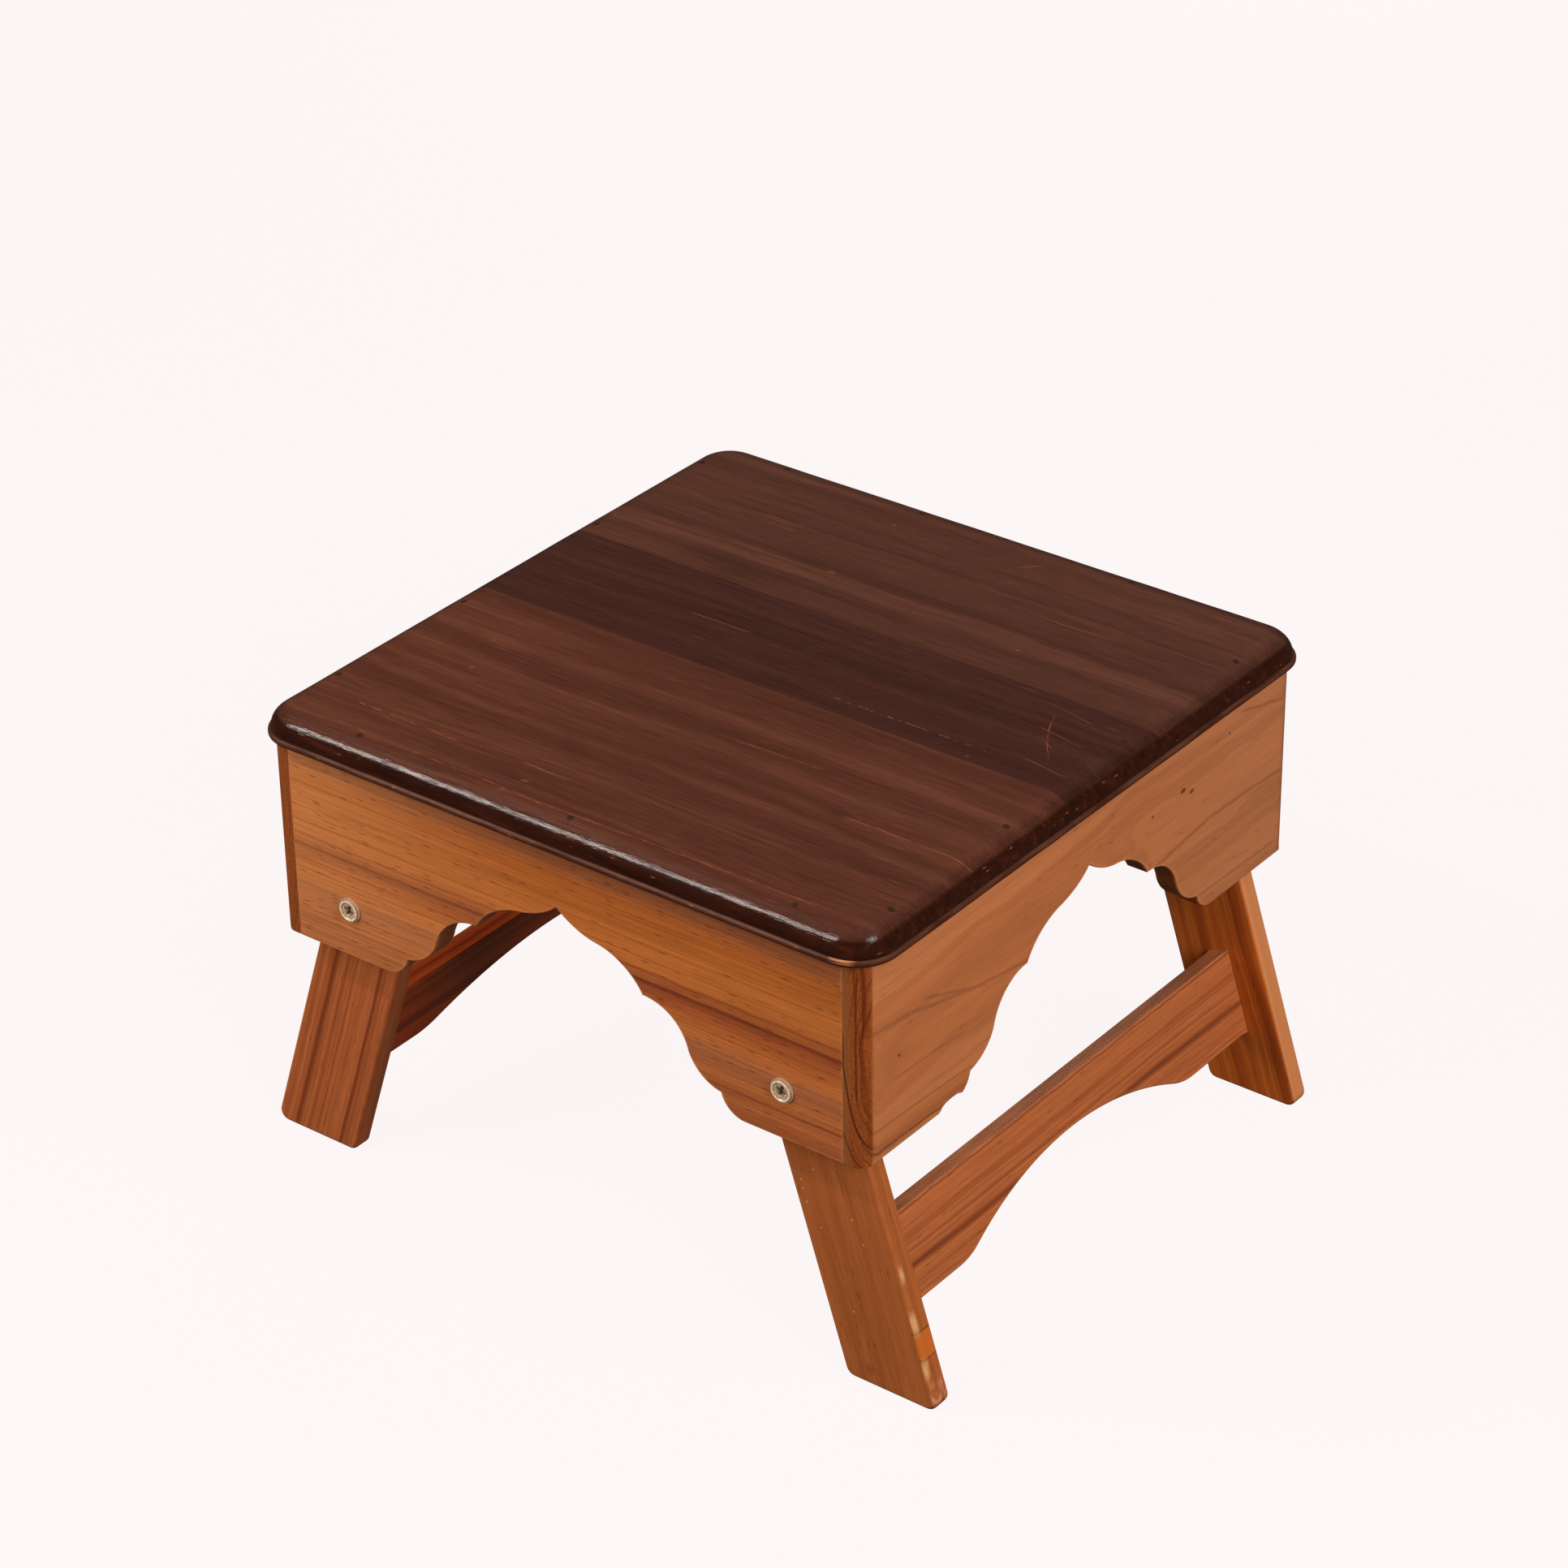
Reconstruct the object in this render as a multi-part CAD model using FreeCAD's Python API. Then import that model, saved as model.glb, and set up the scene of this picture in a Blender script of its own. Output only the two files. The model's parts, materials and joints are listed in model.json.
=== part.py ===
import FreeCAD, Part
import math
import os

# Low square folding stool in teak, with a dark stained top.
#
# A box of four scalloped aprons carries a top of three edge-glued boards.
# Under it stand two U-shaped leg frames, each made of two flat splayed legs
# and one arched stretcher. Each leg turns on a machine screw through the
# front or back apron, so a frame folds inwards and up into the box.
#
# Millimetres. +X runs along the front from left to right, +Y to the back,
# +Z up. The origin is on the floor under the middle of the top.

V = FreeCAD.Vector

# ---- driving dimensions ------------------------------------------------

BOX = 300.0              # outside of the aprons, both ways
APRON_LOW = 112.5        # height of the aprons' bottom edge
APRON_HIGH = 204.5       # height of the aprons' top edge
LONG_APRON_T = 12.0      # front and back aprons
END_APRON_T = 10.4       # left and right aprons
CORNER_R = 8.0           # upright corners of the box
END_BOTTOM_R = 1.5       # bottom outer arris of the end aprons
END_INNER_CHAMFER = 1.0  # bottom inner arris of the end aprons, beside the legs

TOP_SIZE = 311.0         # over the lip of the moulded edge
TOP_T = 12.6
TOP_CORNER_R = 19.0      # lip corners, seen from above
LIP_T = 2.9              # square lip under the moulding
LIP_ROUND = 1.2
QUIRK = 1.3              # step from the lip in to the ovolo
OVOLO_R = 9.0
BOARD_JOINTS = (-19.4, 45.3)   # glue lines between the top's boards, in Y

# One half of the scallop, from the crown outwards. Every arc is given by a
# point on it and its end, as (distance from the middle, height above the
# apron's bottom edge).
SCALLOP_CROWN = (0.0, 63.8)
SCALLOP_ARCS = (
    ((9.0, 57.9), (21.0, 54.5)),
    ((34.0, 48.9), (42.4, 39.4)),
    ((56.4, 34.9), (64.6, 22.2)),
    ((70.4, 14.0), (80.5, 9.3)),
    ((83.8, 3.4), (91.5, 0.0)),
)

PIVOT_X = 110.75         # screws, left and right of the middle
PIVOT_Z = 135.0
SPLAY = math.radians(17.69)
LEG_W = 42.6
LEG_T = 9.5
LEG_SHIFT = 0.7          # the leg's middle line lies this far inside the screw
FOOT_R = 4.5             # foot corners
LEG_ARRIS = 1.8
LEG_FACE_GAP = 1.5       # between an apron's inner face and the leg

STRETCHER_T = 9.5
STRETCHER_HIGH = 72.7    # distances from the screw, down along the leg
STRETCHER_LOW = 111.5
STRETCHER_ARRIS = 1.0
ARCH_HALF = 85.0         # half the span of the stretcher's arch
ARCH_RISE = 18.4
ARCH_END_R = 34.0        # soft shoulder where the arch meets the bottom edge
TENON_T = 5.5
TENON_W = 27.0
TENON_L = 6.0

SCREW_R = 2.5            # M5 machine screw
SCREW_HOLE_R = 2.6       # in the aprons
LEG_HOLE_R = 2.56        # running fit on the screw
HEAD_R = 4.8
HEAD_T = 2.1
HEAD_RIM = 0.9           # width of the raised rim around the dished face
DISH = 0.45
RECESS_L = 4.4           # cross recess
RECESS_W = 0.95
RECESS_DEPTH = 1.1
SCREW_END = 1.0          # thread showing past the nut
WASHER_HOLE_R = 2.6
HEAD_WASHER = (5.4, 0.7)       # outer radius, thickness
SPACER_WASHER = (7.0, 1.2)
INNER_WASHER = (5.5, 1.0)
NUT_FLATS = 8.0
NUT_T = 4.7
NUT_COLLAR_R = 3.6       # round nylon collar of the lock nut
NUT_COLLAR_T = 1.2
RUN_GAP = 0.3            # leg to the washers beside it

PIN_R = 0.8              # panel pins
TOP_PIN_L = 25.0
TOP_PIN_SUNK = 0.4
TOP_PINS_FRONT = (-104.0, 5.0, 114.0)
TOP_PINS_BACK = (-110.0, -37.0, 72.0)
TOP_PINS_LEFT = (-112.0, -34.0, 54.0, 128.0)
TOP_PINS_RIGHT = (-126.0, -51.0, 30.0, 112.0)
CORNER_PIN_L = 28.0
CORNER_PIN_SUNK = 2.0
CORNER_PIN_HEIGHTS = (10.0, 45.0, 78.0)    # above the aprons' bottom edge

# ---- derived -----------------------------------------------------------

HALF = BOX / 2
END_INNER = HALF - END_APRON_T
LONG_INNER = HALF - LONG_APRON_T
LEG_OUTER_Y = LONG_INNER - LEG_FACE_GAP
LEG_INNER_Y = LEG_OUTER_Y - LEG_T
TOP_Z = APRON_HIGH + TOP_T
BIG = 400.0
ALONG = V(math.sin(SPLAY), 0, -math.cos(SPLAY))     # down a right-hand leg
ACROSS = V(math.cos(SPLAY), 0, math.sin(SPLAY))     # out through its edge
PIVOT = V(PIVOT_X, 0, PIVOT_Z)
SIDES = {"left": -1, "right": 1}
ENDS = {"front": -1, "back": 1}


# ---- helpers -----------------------------------------------------------

def arc(start, middle, end):
    return Part.Arc(start, middle, end).toShape()


def line(start, end):
    return Part.makeLine(start, end)


def box(x0, x1, y0, y1, z0, z1):
    return Part.makeBox(x1 - x0, y1 - y0, z1 - z0, V(x0, y0, z0))


def mirrored(shape, side, end):
    """A right-front shape moved to the given side (x) and end (y)."""
    if side < 0:
        shape = shape.mirror(V(0, 0, 0), V(1, 0, 0))
    if end > 0:
        shape = shape.mirror(V(0, 0, 0), V(0, 1, 0))
    return shape


def eased(shape, radius, wanted):
    """Round the edges for which wanted(edge) holds."""
    edges = [edge for edge in shape.Edges if wanted(edge)]
    return shape.makeFillet(radius, edges)


def middle_of(edge):
    return edge.valueAt((edge.FirstParameter + edge.LastParameter) / 2)


def single(shape):
    """The one solid in a boolean's result."""
    assert len(shape.Solids) == 1, len(shape.Solids)
    return shape.Solids[0]


def rounded_square(size, radius, z0, z1):
    half = size / 2
    block = box(-half, half, -half, half, z0, z1)
    return eased(block, radius, lambda e: abs(middle_of(e).z - (z0 + z1) / 2) < 1e-6)


# ---- aprons ------------------------------------------------------------

def apron_face(half_length):
    """Scalloped outline in the XZ plane, symmetrical about x = 0."""
    def at(point, sign):
        return V(sign * point[0], 0, APRON_LOW + point[1])

    edges = []
    for sign in (-1, 1):
        start = SCALLOP_CROWN
        for via, end in SCALLOP_ARCS:
            edges.append(arc(at(start, sign), at(via, sign), at(end, sign)))
            start = end
        foot = at(start, sign)
        corner = V(sign * half_length, 0, APRON_LOW)
        edges.append(line(foot, corner))
        edges.append(line(corner, V(sign * half_length, 0, APRON_HIGH)))
    edges.append(line(V(-half_length, 0, APRON_HIGH), V(half_length, 0, APRON_HIGH)))
    return Part.Face(Part.Wire(Part.__sortEdges__(edges)))


def long_apron(end):
    """Front or back apron, between the end aprons, drilled for the screws."""
    board = apron_face(END_INNER).extrude(V(0, LONG_APRON_T, 0))
    board.translate(V(0, -HALF, 0))
    for x in (-PIVOT_X, PIVOT_X):
        board = board.cut(Part.makeCylinder(SCREW_HOLE_R, BIG, V(x, -BIG / 2, PIVOT_Z), V(0, 1, 0)))
    return mirrored(board, 1, end)


def end_apron(side):
    """Left or right apron, over the full depth, with rounded outer edges."""
    board = apron_face(HALF).extrude(V(0, END_APRON_T, 0))
    board.rotate(V(0, 0, 0), V(0, 0, 1), 90)
    board.translate(V(HALF, 0, 0))
    board = eased(board, CORNER_R, lambda e: (
        abs(middle_of(e).x - HALF) < 1e-6
        and abs(abs(middle_of(e).y) - HALF) < 1e-6
        and abs(e.tangentAt(e.FirstParameter).z) > 0.99))
    board = eased(board, END_BOTTOM_R, lambda e: (
        abs(middle_of(e).x - HALF) < 1e-6
        and abs(middle_of(e).z - APRON_LOW) < 1e-6))
    corner = V(END_INNER, -HALF, APRON_LOW)
    wedge = Part.Face(Part.makePolygon([
        corner, corner + V(END_INNER_CHAMFER, 0, 0), corner + V(0, 0, END_INNER_CHAMFER), corner]))
    board = single(board.cut(wedge.extrude(V(0, BOX, 0))))
    return mirrored(board, side, -1)


# ---- top ---------------------------------------------------------------

def top_blank():
    """The glued-up top with its moulding: lip, quirk and ovolo."""
    lip_top = APRON_HIGH + LIP_T
    lip = rounded_square(TOP_SIZE, TOP_CORNER_R, APRON_HIGH, lip_top)
    lip = lip.makeFillet(LIP_ROUND, [e for e in lip.Edges
                                     if abs(middle_of(e).z - APRON_HIGH) < 1e-6
                                     or abs(middle_of(e).z - lip_top) < 1e-6])
    body = rounded_square(TOP_SIZE - 2 * QUIRK, TOP_CORNER_R - QUIRK, APRON_HIGH, TOP_Z)
    body = eased(body, OVOLO_R, lambda e: abs(middle_of(e).z - TOP_Z) < 1e-6)
    return single(lip.fuse(body).removeSplitter())


def top_boards():
    blank = top_blank()
    limits = (-BIG,) + BOARD_JOINTS + (BIG,)
    names = ("top_board_front", "top_board_middle", "top_board_back")
    boards = {}
    for name, low, high in zip(names, limits, limits[1:]):
        boards[name] = single(blank.common(box(-BIG, BIG, low, high, 0, BIG)))
    return boards


# ---- leg frames --------------------------------------------------------

def on_leg(across, along, y):
    """Point on a right-hand leg: across from the screw, down along the leg."""
    point = PIVOT + ACROSS * across + ALONG * along
    return V(point.x, y, point.z)


def leg():
    """Front right leg, with a round top end and a foot cut to the floor."""
    y = -LEG_OUTER_Y
    outer = LEG_W / 2 - LEG_SHIFT
    inner = -LEG_W / 2 - LEG_SHIFT

    def floor_point(across):
        return on_leg(across, (PIVOT_Z + ACROSS.z * across) / -ALONG.z, y)

    top = on_leg(-LEG_SHIFT, -LEG_W / 2, y)
    edges = [
        line(on_leg(outer, 0, y), floor_point(outer)),
        line(floor_point(outer), floor_point(inner)),
        line(floor_point(inner), on_leg(inner, 0, y)),
        arc(on_leg(inner, 0, y), top, on_leg(outer, 0, y)),
    ]
    blank = Part.Face(Part.Wire(edges)).extrude(V(0, LEG_T, 0))
    shaped = eased(blank, FOOT_R, lambda e: (
        abs(middle_of(e).z) < 1e-6 and abs(e.tangentAt(e.FirstParameter).y) > 0.99))
    shaped = eased(shaped, LEG_ARRIS, lambda e: (
        abs(e.tangentAt(e.FirstParameter).y) < 0.5
        and abs(abs(middle_of(e).y - y - LEG_T / 2) - LEG_T / 2) < 1e-6))
    hole = Part.makeCylinder(LEG_HOLE_R, BIG, V(PIVOT_X, -BIG / 2, PIVOT_Z), V(0, 1, 0))
    return single(shaped.cut(hole))


def tilted_block(low, high, half_t, y0, y1):
    """Block lying along the leg's slope, from low to high down the leg."""
    corners = [on_leg(-half_t, low, y0), on_leg(half_t, low, y0),
               on_leg(half_t, high, y0), on_leg(-half_t, high, y0)]
    face = Part.Face(Part.makePolygon(corners + corners[:1]))
    return face.extrude(V(0, y1 - y0, 0))


def tenon(end):
    middle = (STRETCHER_HIGH + STRETCHER_LOW) / 2
    y0, y1 = sorted((end * LEG_INNER_Y, end * (LEG_INNER_Y + TENON_L)))
    return tilted_block(middle - TENON_W / 2, middle + TENON_W / 2, TENON_T / 2, y0, y1)


def stretcher():
    """Right-hand stretcher: straight top, arched bottom, a tenon each end."""
    # The arch is tangent to a soft shoulder at each end.
    span = (ARCH_HALF ** 2 + ARCH_RISE ** 2) / (2 * ARCH_RISE)
    arch_r = span - ARCH_END_R
    crown = STRETCHER_LOW - ARCH_RISE
    share = ARCH_END_R / span
    meet_y = ARCH_HALF * (1 - share)
    meet_s = STRETCHER_LOW - ARCH_END_R + share * (crown + arch_r - STRETCHER_LOW + ARCH_END_R)
    half_turn = math.asin(ARCH_HALF / span) / 2
    soft_y = ARCH_HALF - ARCH_END_R * math.sin(half_turn)
    soft_s = STRETCHER_LOW - ARCH_END_R * (1 - math.cos(half_turn))

    across = -STRETCHER_T / 2

    def at(y, along):
        return on_leg(across, along, y)

    edges = [
        line(at(-LEG_INNER_Y, STRETCHER_HIGH), at(LEG_INNER_Y, STRETCHER_HIGH)),
        line(at(LEG_INNER_Y, STRETCHER_HIGH), at(LEG_INNER_Y, STRETCHER_LOW)),
        line(at(LEG_INNER_Y, STRETCHER_LOW), at(ARCH_HALF, STRETCHER_LOW)),
        arc(at(ARCH_HALF, STRETCHER_LOW), at(soft_y, soft_s), at(meet_y, meet_s)),
        arc(at(meet_y, meet_s), at(0, crown), at(-meet_y, meet_s)),
        arc(at(-meet_y, meet_s), at(-soft_y, soft_s), at(-ARCH_HALF, STRETCHER_LOW)),
        line(at(-ARCH_HALF, STRETCHER_LOW), at(-LEG_INNER_Y, STRETCHER_LOW)),
        line(at(-LEG_INNER_Y, STRETCHER_LOW), at(-LEG_INNER_Y, STRETCHER_HIGH)),
    ]
    board = Part.Face(Part.Wire(edges)).extrude(ACROSS * STRETCHER_T)
    board = eased(board, STRETCHER_ARRIS, lambda e: (
        abs(e.tangentAt(e.FirstParameter).y) > 0.1
        and abs(middle_of(e).y) < LEG_INNER_Y - 1e-6))
    for end in ENDS.values():
        board = board.fuse(tenon(end))
    return single(board)


def leg_frame(side_name):
    side = SIDES[side_name]
    plain = leg().cut(tenon(-1))
    nodes = {side_name + "_stretcher": mirrored(stretcher(), side, -1)}
    for end_name, end in ENDS.items():
        nodes["%s_leg_%s" % (side_name, end_name)] = mirrored(single(plain), side, end)
    return nodes


# ---- pivot hardware ----------------------------------------------------

def turned(profile):
    """Solid of revolution about the screw line x = 0, z = 0 along +Y."""
    points = [V(radius, y, 0) for radius, y in profile]
    face = Part.Face(Part.makePolygon(points + points[:1]))
    return face.revolve(V(0, 0, 0), V(0, 1, 0), 360)


def ring(outer, inner, y0, thickness):
    return turned([(inner, y0), (outer, y0), (outer, y0 + thickness), (inner, y0 + thickness)])


def screw_stack():
    """One front pivot's hardware on the line x = 0, z = 0, from outside in."""
    washer_y = -HALF - HEAD_WASHER[1]
    inner_y = -LEG_INNER_Y + RUN_GAP
    nut_y = inner_y + INNER_WASHER[1]
    end_y = nut_y + NUT_T + SCREW_END
    face_y = washer_y - HEAD_T

    head = turned([
        (0, washer_y), (HEAD_R - 0.1, washer_y), (HEAD_R, washer_y - 0.3),
        (HEAD_R, face_y + 0.7), (HEAD_R - 0.35, face_y + 0.15), (HEAD_R - 0.6, face_y),
        (HEAD_R - HEAD_RIM, face_y + 0.05), (HEAD_R - HEAD_RIM - 0.35, face_y + DISH),
        (0, face_y + DISH)])
    floor = face_y + DISH
    for turn in (20, 110):
        slot = box(-RECESS_L / 2, RECESS_L / 2, floor - 1, floor + RECESS_DEPTH,
                   -RECESS_W / 2, RECESS_W / 2)
        slot.rotate(V(0, 0, 0), V(0, 1, 0), turn)
        head = head.cut(slot)
    shank = turned([(0, washer_y), (SCREW_R, washer_y), (SCREW_R, end_y - 0.5),
                    (SCREW_R - 0.5, end_y), (0, end_y)])

    points = [V(NUT_FLATS / math.sqrt(3) * math.cos(math.radians(60 * i)), nut_y,
                NUT_FLATS / math.sqrt(3) * math.sin(math.radians(60 * i))) for i in range(6)]
    hexagon = Part.Face(Part.makePolygon(points + points[:1]))
    nut = hexagon.extrude(V(0, NUT_T - NUT_COLLAR_T, 0))
    nut = nut.fuse(ring(NUT_COLLAR_R, SCREW_R, nut_y, NUT_T))
    nut = nut.cut(Part.makeCylinder(SCREW_R, BIG, V(0, -BIG / 2, 0), V(0, 1, 0)))

    return {
        "pivot_screws": single(head.fuse(shank)),
        "head_washers": ring(HEAD_WASHER[0], WASHER_HOLE_R, washer_y, HEAD_WASHER[1]),
        "spacer_washers": ring(SPACER_WASHER[0], WASHER_HOLE_R, -LONG_INNER, SPACER_WASHER[1]),
        "inner_washers": ring(INNER_WASHER[0], WASHER_HOLE_R, inner_y, INNER_WASHER[1]),
        "lock_nuts": single(nut),
    }


def pivot_hardware():
    nodes = {}
    for name, shape in screw_stack().items():
        placed = shape.copy()
        placed.translate(V(PIVOT_X, 0, PIVOT_Z))
        nodes[name] = Part.makeCompound([mirrored(placed, side, end)
                                         for side in SIDES.values() for end in ENDS.values()])
    return nodes


# ---- panel pins --------------------------------------------------------

def top_pins():
    """Pins down through the top into the middle of each apron's edge."""
    long_y = HALF - LONG_APRON_T / 2
    end_x = HALF - END_APRON_T / 2
    places = [(x, -long_y) for x in TOP_PINS_FRONT]
    places += [(x, long_y) for x in TOP_PINS_BACK]
    places += [(-end_x, y) for y in TOP_PINS_LEFT]
    places += [(end_x, y) for y in TOP_PINS_RIGHT]
    base = TOP_Z - TOP_PIN_SUNK - TOP_PIN_L
    return [Part.makeCylinder(PIN_R, TOP_PIN_L, V(x, y, base)) for x, y in places]


def corner_pins():
    """Pins from the end aprons into the ends of the front and back aprons."""
    start = HALF - CORNER_PIN_SUNK
    pin_y = -(HALF - LONG_APRON_T / 2)
    pins = []
    for height in CORNER_PIN_HEIGHTS:
        pin = Part.makeCylinder(PIN_R, CORNER_PIN_L, V(start, pin_y, APRON_LOW + height), V(-1, 0, 0))
        pins += [mirrored(pin, side, end) for side in SIDES.values() for end in ENDS.values()]
    return pins


def drilled(shape, pins, open_top):
    """Cut the pins' holes; a top pin's hole also runs up to the surface."""
    for pin in pins:
        if not shape.BoundBox.intersect(pin.BoundBox):
            continue
        hole = pin
        if open_top:
            box_of = pin.BoundBox
            centre = V((box_of.XMin + box_of.XMax) / 2, (box_of.YMin + box_of.YMax) / 2, box_of.ZMin)
            hole = Part.makeCylinder(PIN_R, BIG, centre)
        shape = shape.cut(hole)
    return shape


# ---- assembly ----------------------------------------------------------

def build():
    fixing_top, fixing_corner = top_pins(), corner_pins()
    wood = dict(top_boards())
    wood["front_apron"] = long_apron(-1)
    wood["back_apron"] = long_apron(1)
    wood["left_end_apron"] = end_apron(-1)
    wood["right_end_apron"] = end_apron(1)
    for name in wood:
        shape = drilled(wood[name], fixing_top, True)
        wood[name] = single(drilled(shape, fixing_corner, False))

    nodes = dict(wood)
    nodes.update(leg_frame("left"))
    nodes.update(leg_frame("right"))
    nodes.update(pivot_hardware())
    nodes["top_pins"] = Part.makeCompound(fixing_top)
    nodes["corner_pins"] = Part.makeCompound(fixing_corner)
    return nodes


os.makedirs("parts", exist_ok=True)
for node_name, node_shape in build().items():
    assert node_shape.isValid(), node_name
    node_shape.exportStep("parts/%s.step" % node_name)
    bounds = node_shape.BoundBox
    print("%-18s %9.1f mm3  z %.1f..%.1f" % (node_name, node_shape.Volume, bounds.ZMin, bounds.ZMax))
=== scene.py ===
import json
import math

import bmesh
import bpy
import numpy as np
from mathutils import Matrix, Vector, noise
from mathutils.geometry import tessellate_polygon


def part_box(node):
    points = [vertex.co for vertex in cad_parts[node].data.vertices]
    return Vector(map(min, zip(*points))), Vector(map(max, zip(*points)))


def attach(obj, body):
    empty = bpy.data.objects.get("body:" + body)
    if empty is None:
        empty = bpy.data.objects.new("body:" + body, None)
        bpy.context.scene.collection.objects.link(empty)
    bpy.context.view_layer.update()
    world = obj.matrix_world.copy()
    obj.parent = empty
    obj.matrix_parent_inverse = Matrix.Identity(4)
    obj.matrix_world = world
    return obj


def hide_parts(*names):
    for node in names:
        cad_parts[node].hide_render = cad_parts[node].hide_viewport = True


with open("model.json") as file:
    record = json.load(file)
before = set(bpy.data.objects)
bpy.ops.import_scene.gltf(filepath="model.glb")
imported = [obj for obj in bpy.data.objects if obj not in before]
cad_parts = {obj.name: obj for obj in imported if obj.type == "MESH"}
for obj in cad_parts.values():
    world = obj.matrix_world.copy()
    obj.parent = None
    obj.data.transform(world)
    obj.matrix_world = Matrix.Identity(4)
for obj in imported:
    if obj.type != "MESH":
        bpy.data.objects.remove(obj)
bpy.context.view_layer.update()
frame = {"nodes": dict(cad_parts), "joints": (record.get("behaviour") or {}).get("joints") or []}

# Looks of the low folding teak stool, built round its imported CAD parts.
#
# Every board of the aprons and the leg frames is a new mesh in its own frame:
# u runs along the board, v across it and w out of its outer face, so that the
# shader's coordinates follow the grain. The top's boards, the pins and the
# screws stay in the stool's frame. Lengths are millimetres until a mesh is
# made; lights, camera and floor are in metres.

MM = 0.001
X = Vector((1, 0, 0))
Y = Vector((0, 1, 0))
Z = Vector((0, 0, 1))

# ---- shape, in millimetres ----------------------------------------------

SCALLOP_CROWN = (0.0, 63.8)      # (from the middle, above the apron's bottom edge)
SCALLOP_ARCS = (                 # (point on the arc, end of the arc), outwards
    ((9.0, 57.9), (21.0, 54.5)),
    ((34.0, 48.9), (42.4, 39.4)),
    ((56.4, 34.9), (64.6, 22.2)),
    ((70.4, 14.0), (80.5, 9.3)),
    ((83.8, 3.4), (91.5, 0.0)),
)
SCALLOP_FOOT = SCALLOP_ARCS[-1][1][0]
CURVE_STEP = 1.6                 # between points on a curve, where nothing else is said
SAWN_ARRIS = 0.5                 # eased edges of the aprons
BUTT_ARRIS = 0.05                # edges that stand against another board
HIDDEN_ARRIS = 0.2               # edges under the top
SCALLOP_ARRIS = 0.7
CORNER_R = 8.0                   # upright corners of the box
END_BOTTOM_R = 1.5               # bottom outer arris of the end aprons

SPLAY = math.radians(17.69)
LEG_W = 42.6
LEG_SHIFT = 0.7
LEG_ARRIS = 1.8
FOOT_R = 4.5
STRETCHER_HIGH = 72.7            # down the leg from the screw
STRETCHER_LOW = 111.5
STRETCHER_T = 9.5
STRETCHER_ARRIS = 1.0
ARCH_HALF = 85.0
ARCH_RISE = 18.4
ARCH_END_R = 34.0

TOP_CORNER_R = 19.0
LIP_T = 2.9
LIP_ROUND = 1.2
QUIRK = 1.3
OVOLO_WIDE = 13.0                # the moulding's rounded edge, across
OVOLO_TALL = 9.2                 # and in height
PIN_R = 0.8
HEAD_R = 4.8
HEAD_RIM = 0.9
HEAD_DISH = 0.6
HEAD_LOWER = 1.2                 # heads stand this much lower than their CAD blanks
CROSS_TURN = 0.35                # of the cross recess, in radians
SCREW_SIDES = 96
SHANK_R = 2.5
NUT_AND_TIP = 5.7                # nut's height and the thread past it
FILLER_R = 1.5                   # dark filler over each pin in the top
FRONT_PINS = (-104.0, 5.0, 114.0)
BACK_PINS = (-110.0, -37.0, 72.0)
LEFT_PINS = (-112.0, -34.0, 54.0, 128.0)
RIGHT_PINS = (-126.0, -51.0, 30.0, 112.0)
HOLE_R = 2.6                     # screw holes
GLUE = 0.02                      # half a glue line between the top's boards

ARRIS_STEPS = 4                  # faces across a rounded edge
BAND = 2.5                       # width over which wear fades from an edge
QUARTER = math.pi / 2
FULL = 2 * math.pi
MIRROR = (-1, 1)
SIDES = ((-1, "left"), (1, "right"))


def box_mm(node):
    low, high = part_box(node)
    return low / MM, high / MM


FRONT_LOW, FRONT_HIGH = box_mm("front_apron")
END_LOW, END_HIGH = box_mm("right_end_apron")
LEG_LOW, LEG_HIGH = box_mm("right_leg_front")
APRON_LOW = FRONT_LOW.z
APRON_TALL = FRONT_HIGH.z - FRONT_LOW.z
APRON_TOP = FRONT_HIGH.z
LONG_HALF = FRONT_HIGH.x
LONG_T = FRONT_HIGH.y - FRONT_LOW.y
HALF = END_HIGH.x
END_T = END_HIGH.x - END_LOW.x
LEG_T = LEG_HIGH.y - LEG_LOW.y
TOP_HIGH = box_mm("top_board_back")[1]
JOINTS = {joint["name"]: joint for joint in frame["joints"]}
PIVOT = Vector(JOINTS["right_fold"]["pos_m"]) / MM
SCREW_FACE = box_mm("pivot_screws")[1].y - HEAD_LOWER


# ---- outlines ------------------------------------------------------------

def turned(centre, radius, first, last, step=CURVE_STEP, count=None):
    """Points on an arc about a centre, both ends included."""
    count = count or max(3, math.ceil(abs(last - first) * radius / step) + 1)
    angles = np.linspace(first, last, count)
    return np.column_stack([centre[0] + radius * np.cos(angles), centre[1] + radius * np.sin(angles)])


def short_arc(centre, radius, start, end, step=CURVE_STEP):
    """Points from start to end on the shorter arc about a centre."""
    first = math.atan2(start[1] - centre[1], start[0] - centre[0])
    last = math.atan2(end[1] - centre[1], end[0] - centre[0])
    sweep = (last - first + math.pi) % FULL - math.pi
    return turned(centre, radius, first, first + sweep, step)


def arc_through(start, via, end):
    """Points on the arc from start through via to end, without its end."""
    (ax, ay), (bx, by), (cx, cy) = start, via, end
    a, b, c = ax**2 + ay**2, bx**2 + by**2, cx**2 + cy**2
    d = 2 * (ax * (by - cy) + bx * (cy - ay) + cx * (ay - by))
    centre = ((a * (by - cy) + b * (cy - ay) + c * (ay - by)) / d,
              (a * (cx - bx) + b * (ax - cx) + c * (bx - ax)) / d)
    return short_arc(centre, math.dist(start, centre), start, end)[:-1]


def run(start, end, count):
    """Evenly spaced points from start to just before end."""
    share = np.arange(count)[:, None] / count
    return np.array(start) * (1 - share) + np.array(end) * share


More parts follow.
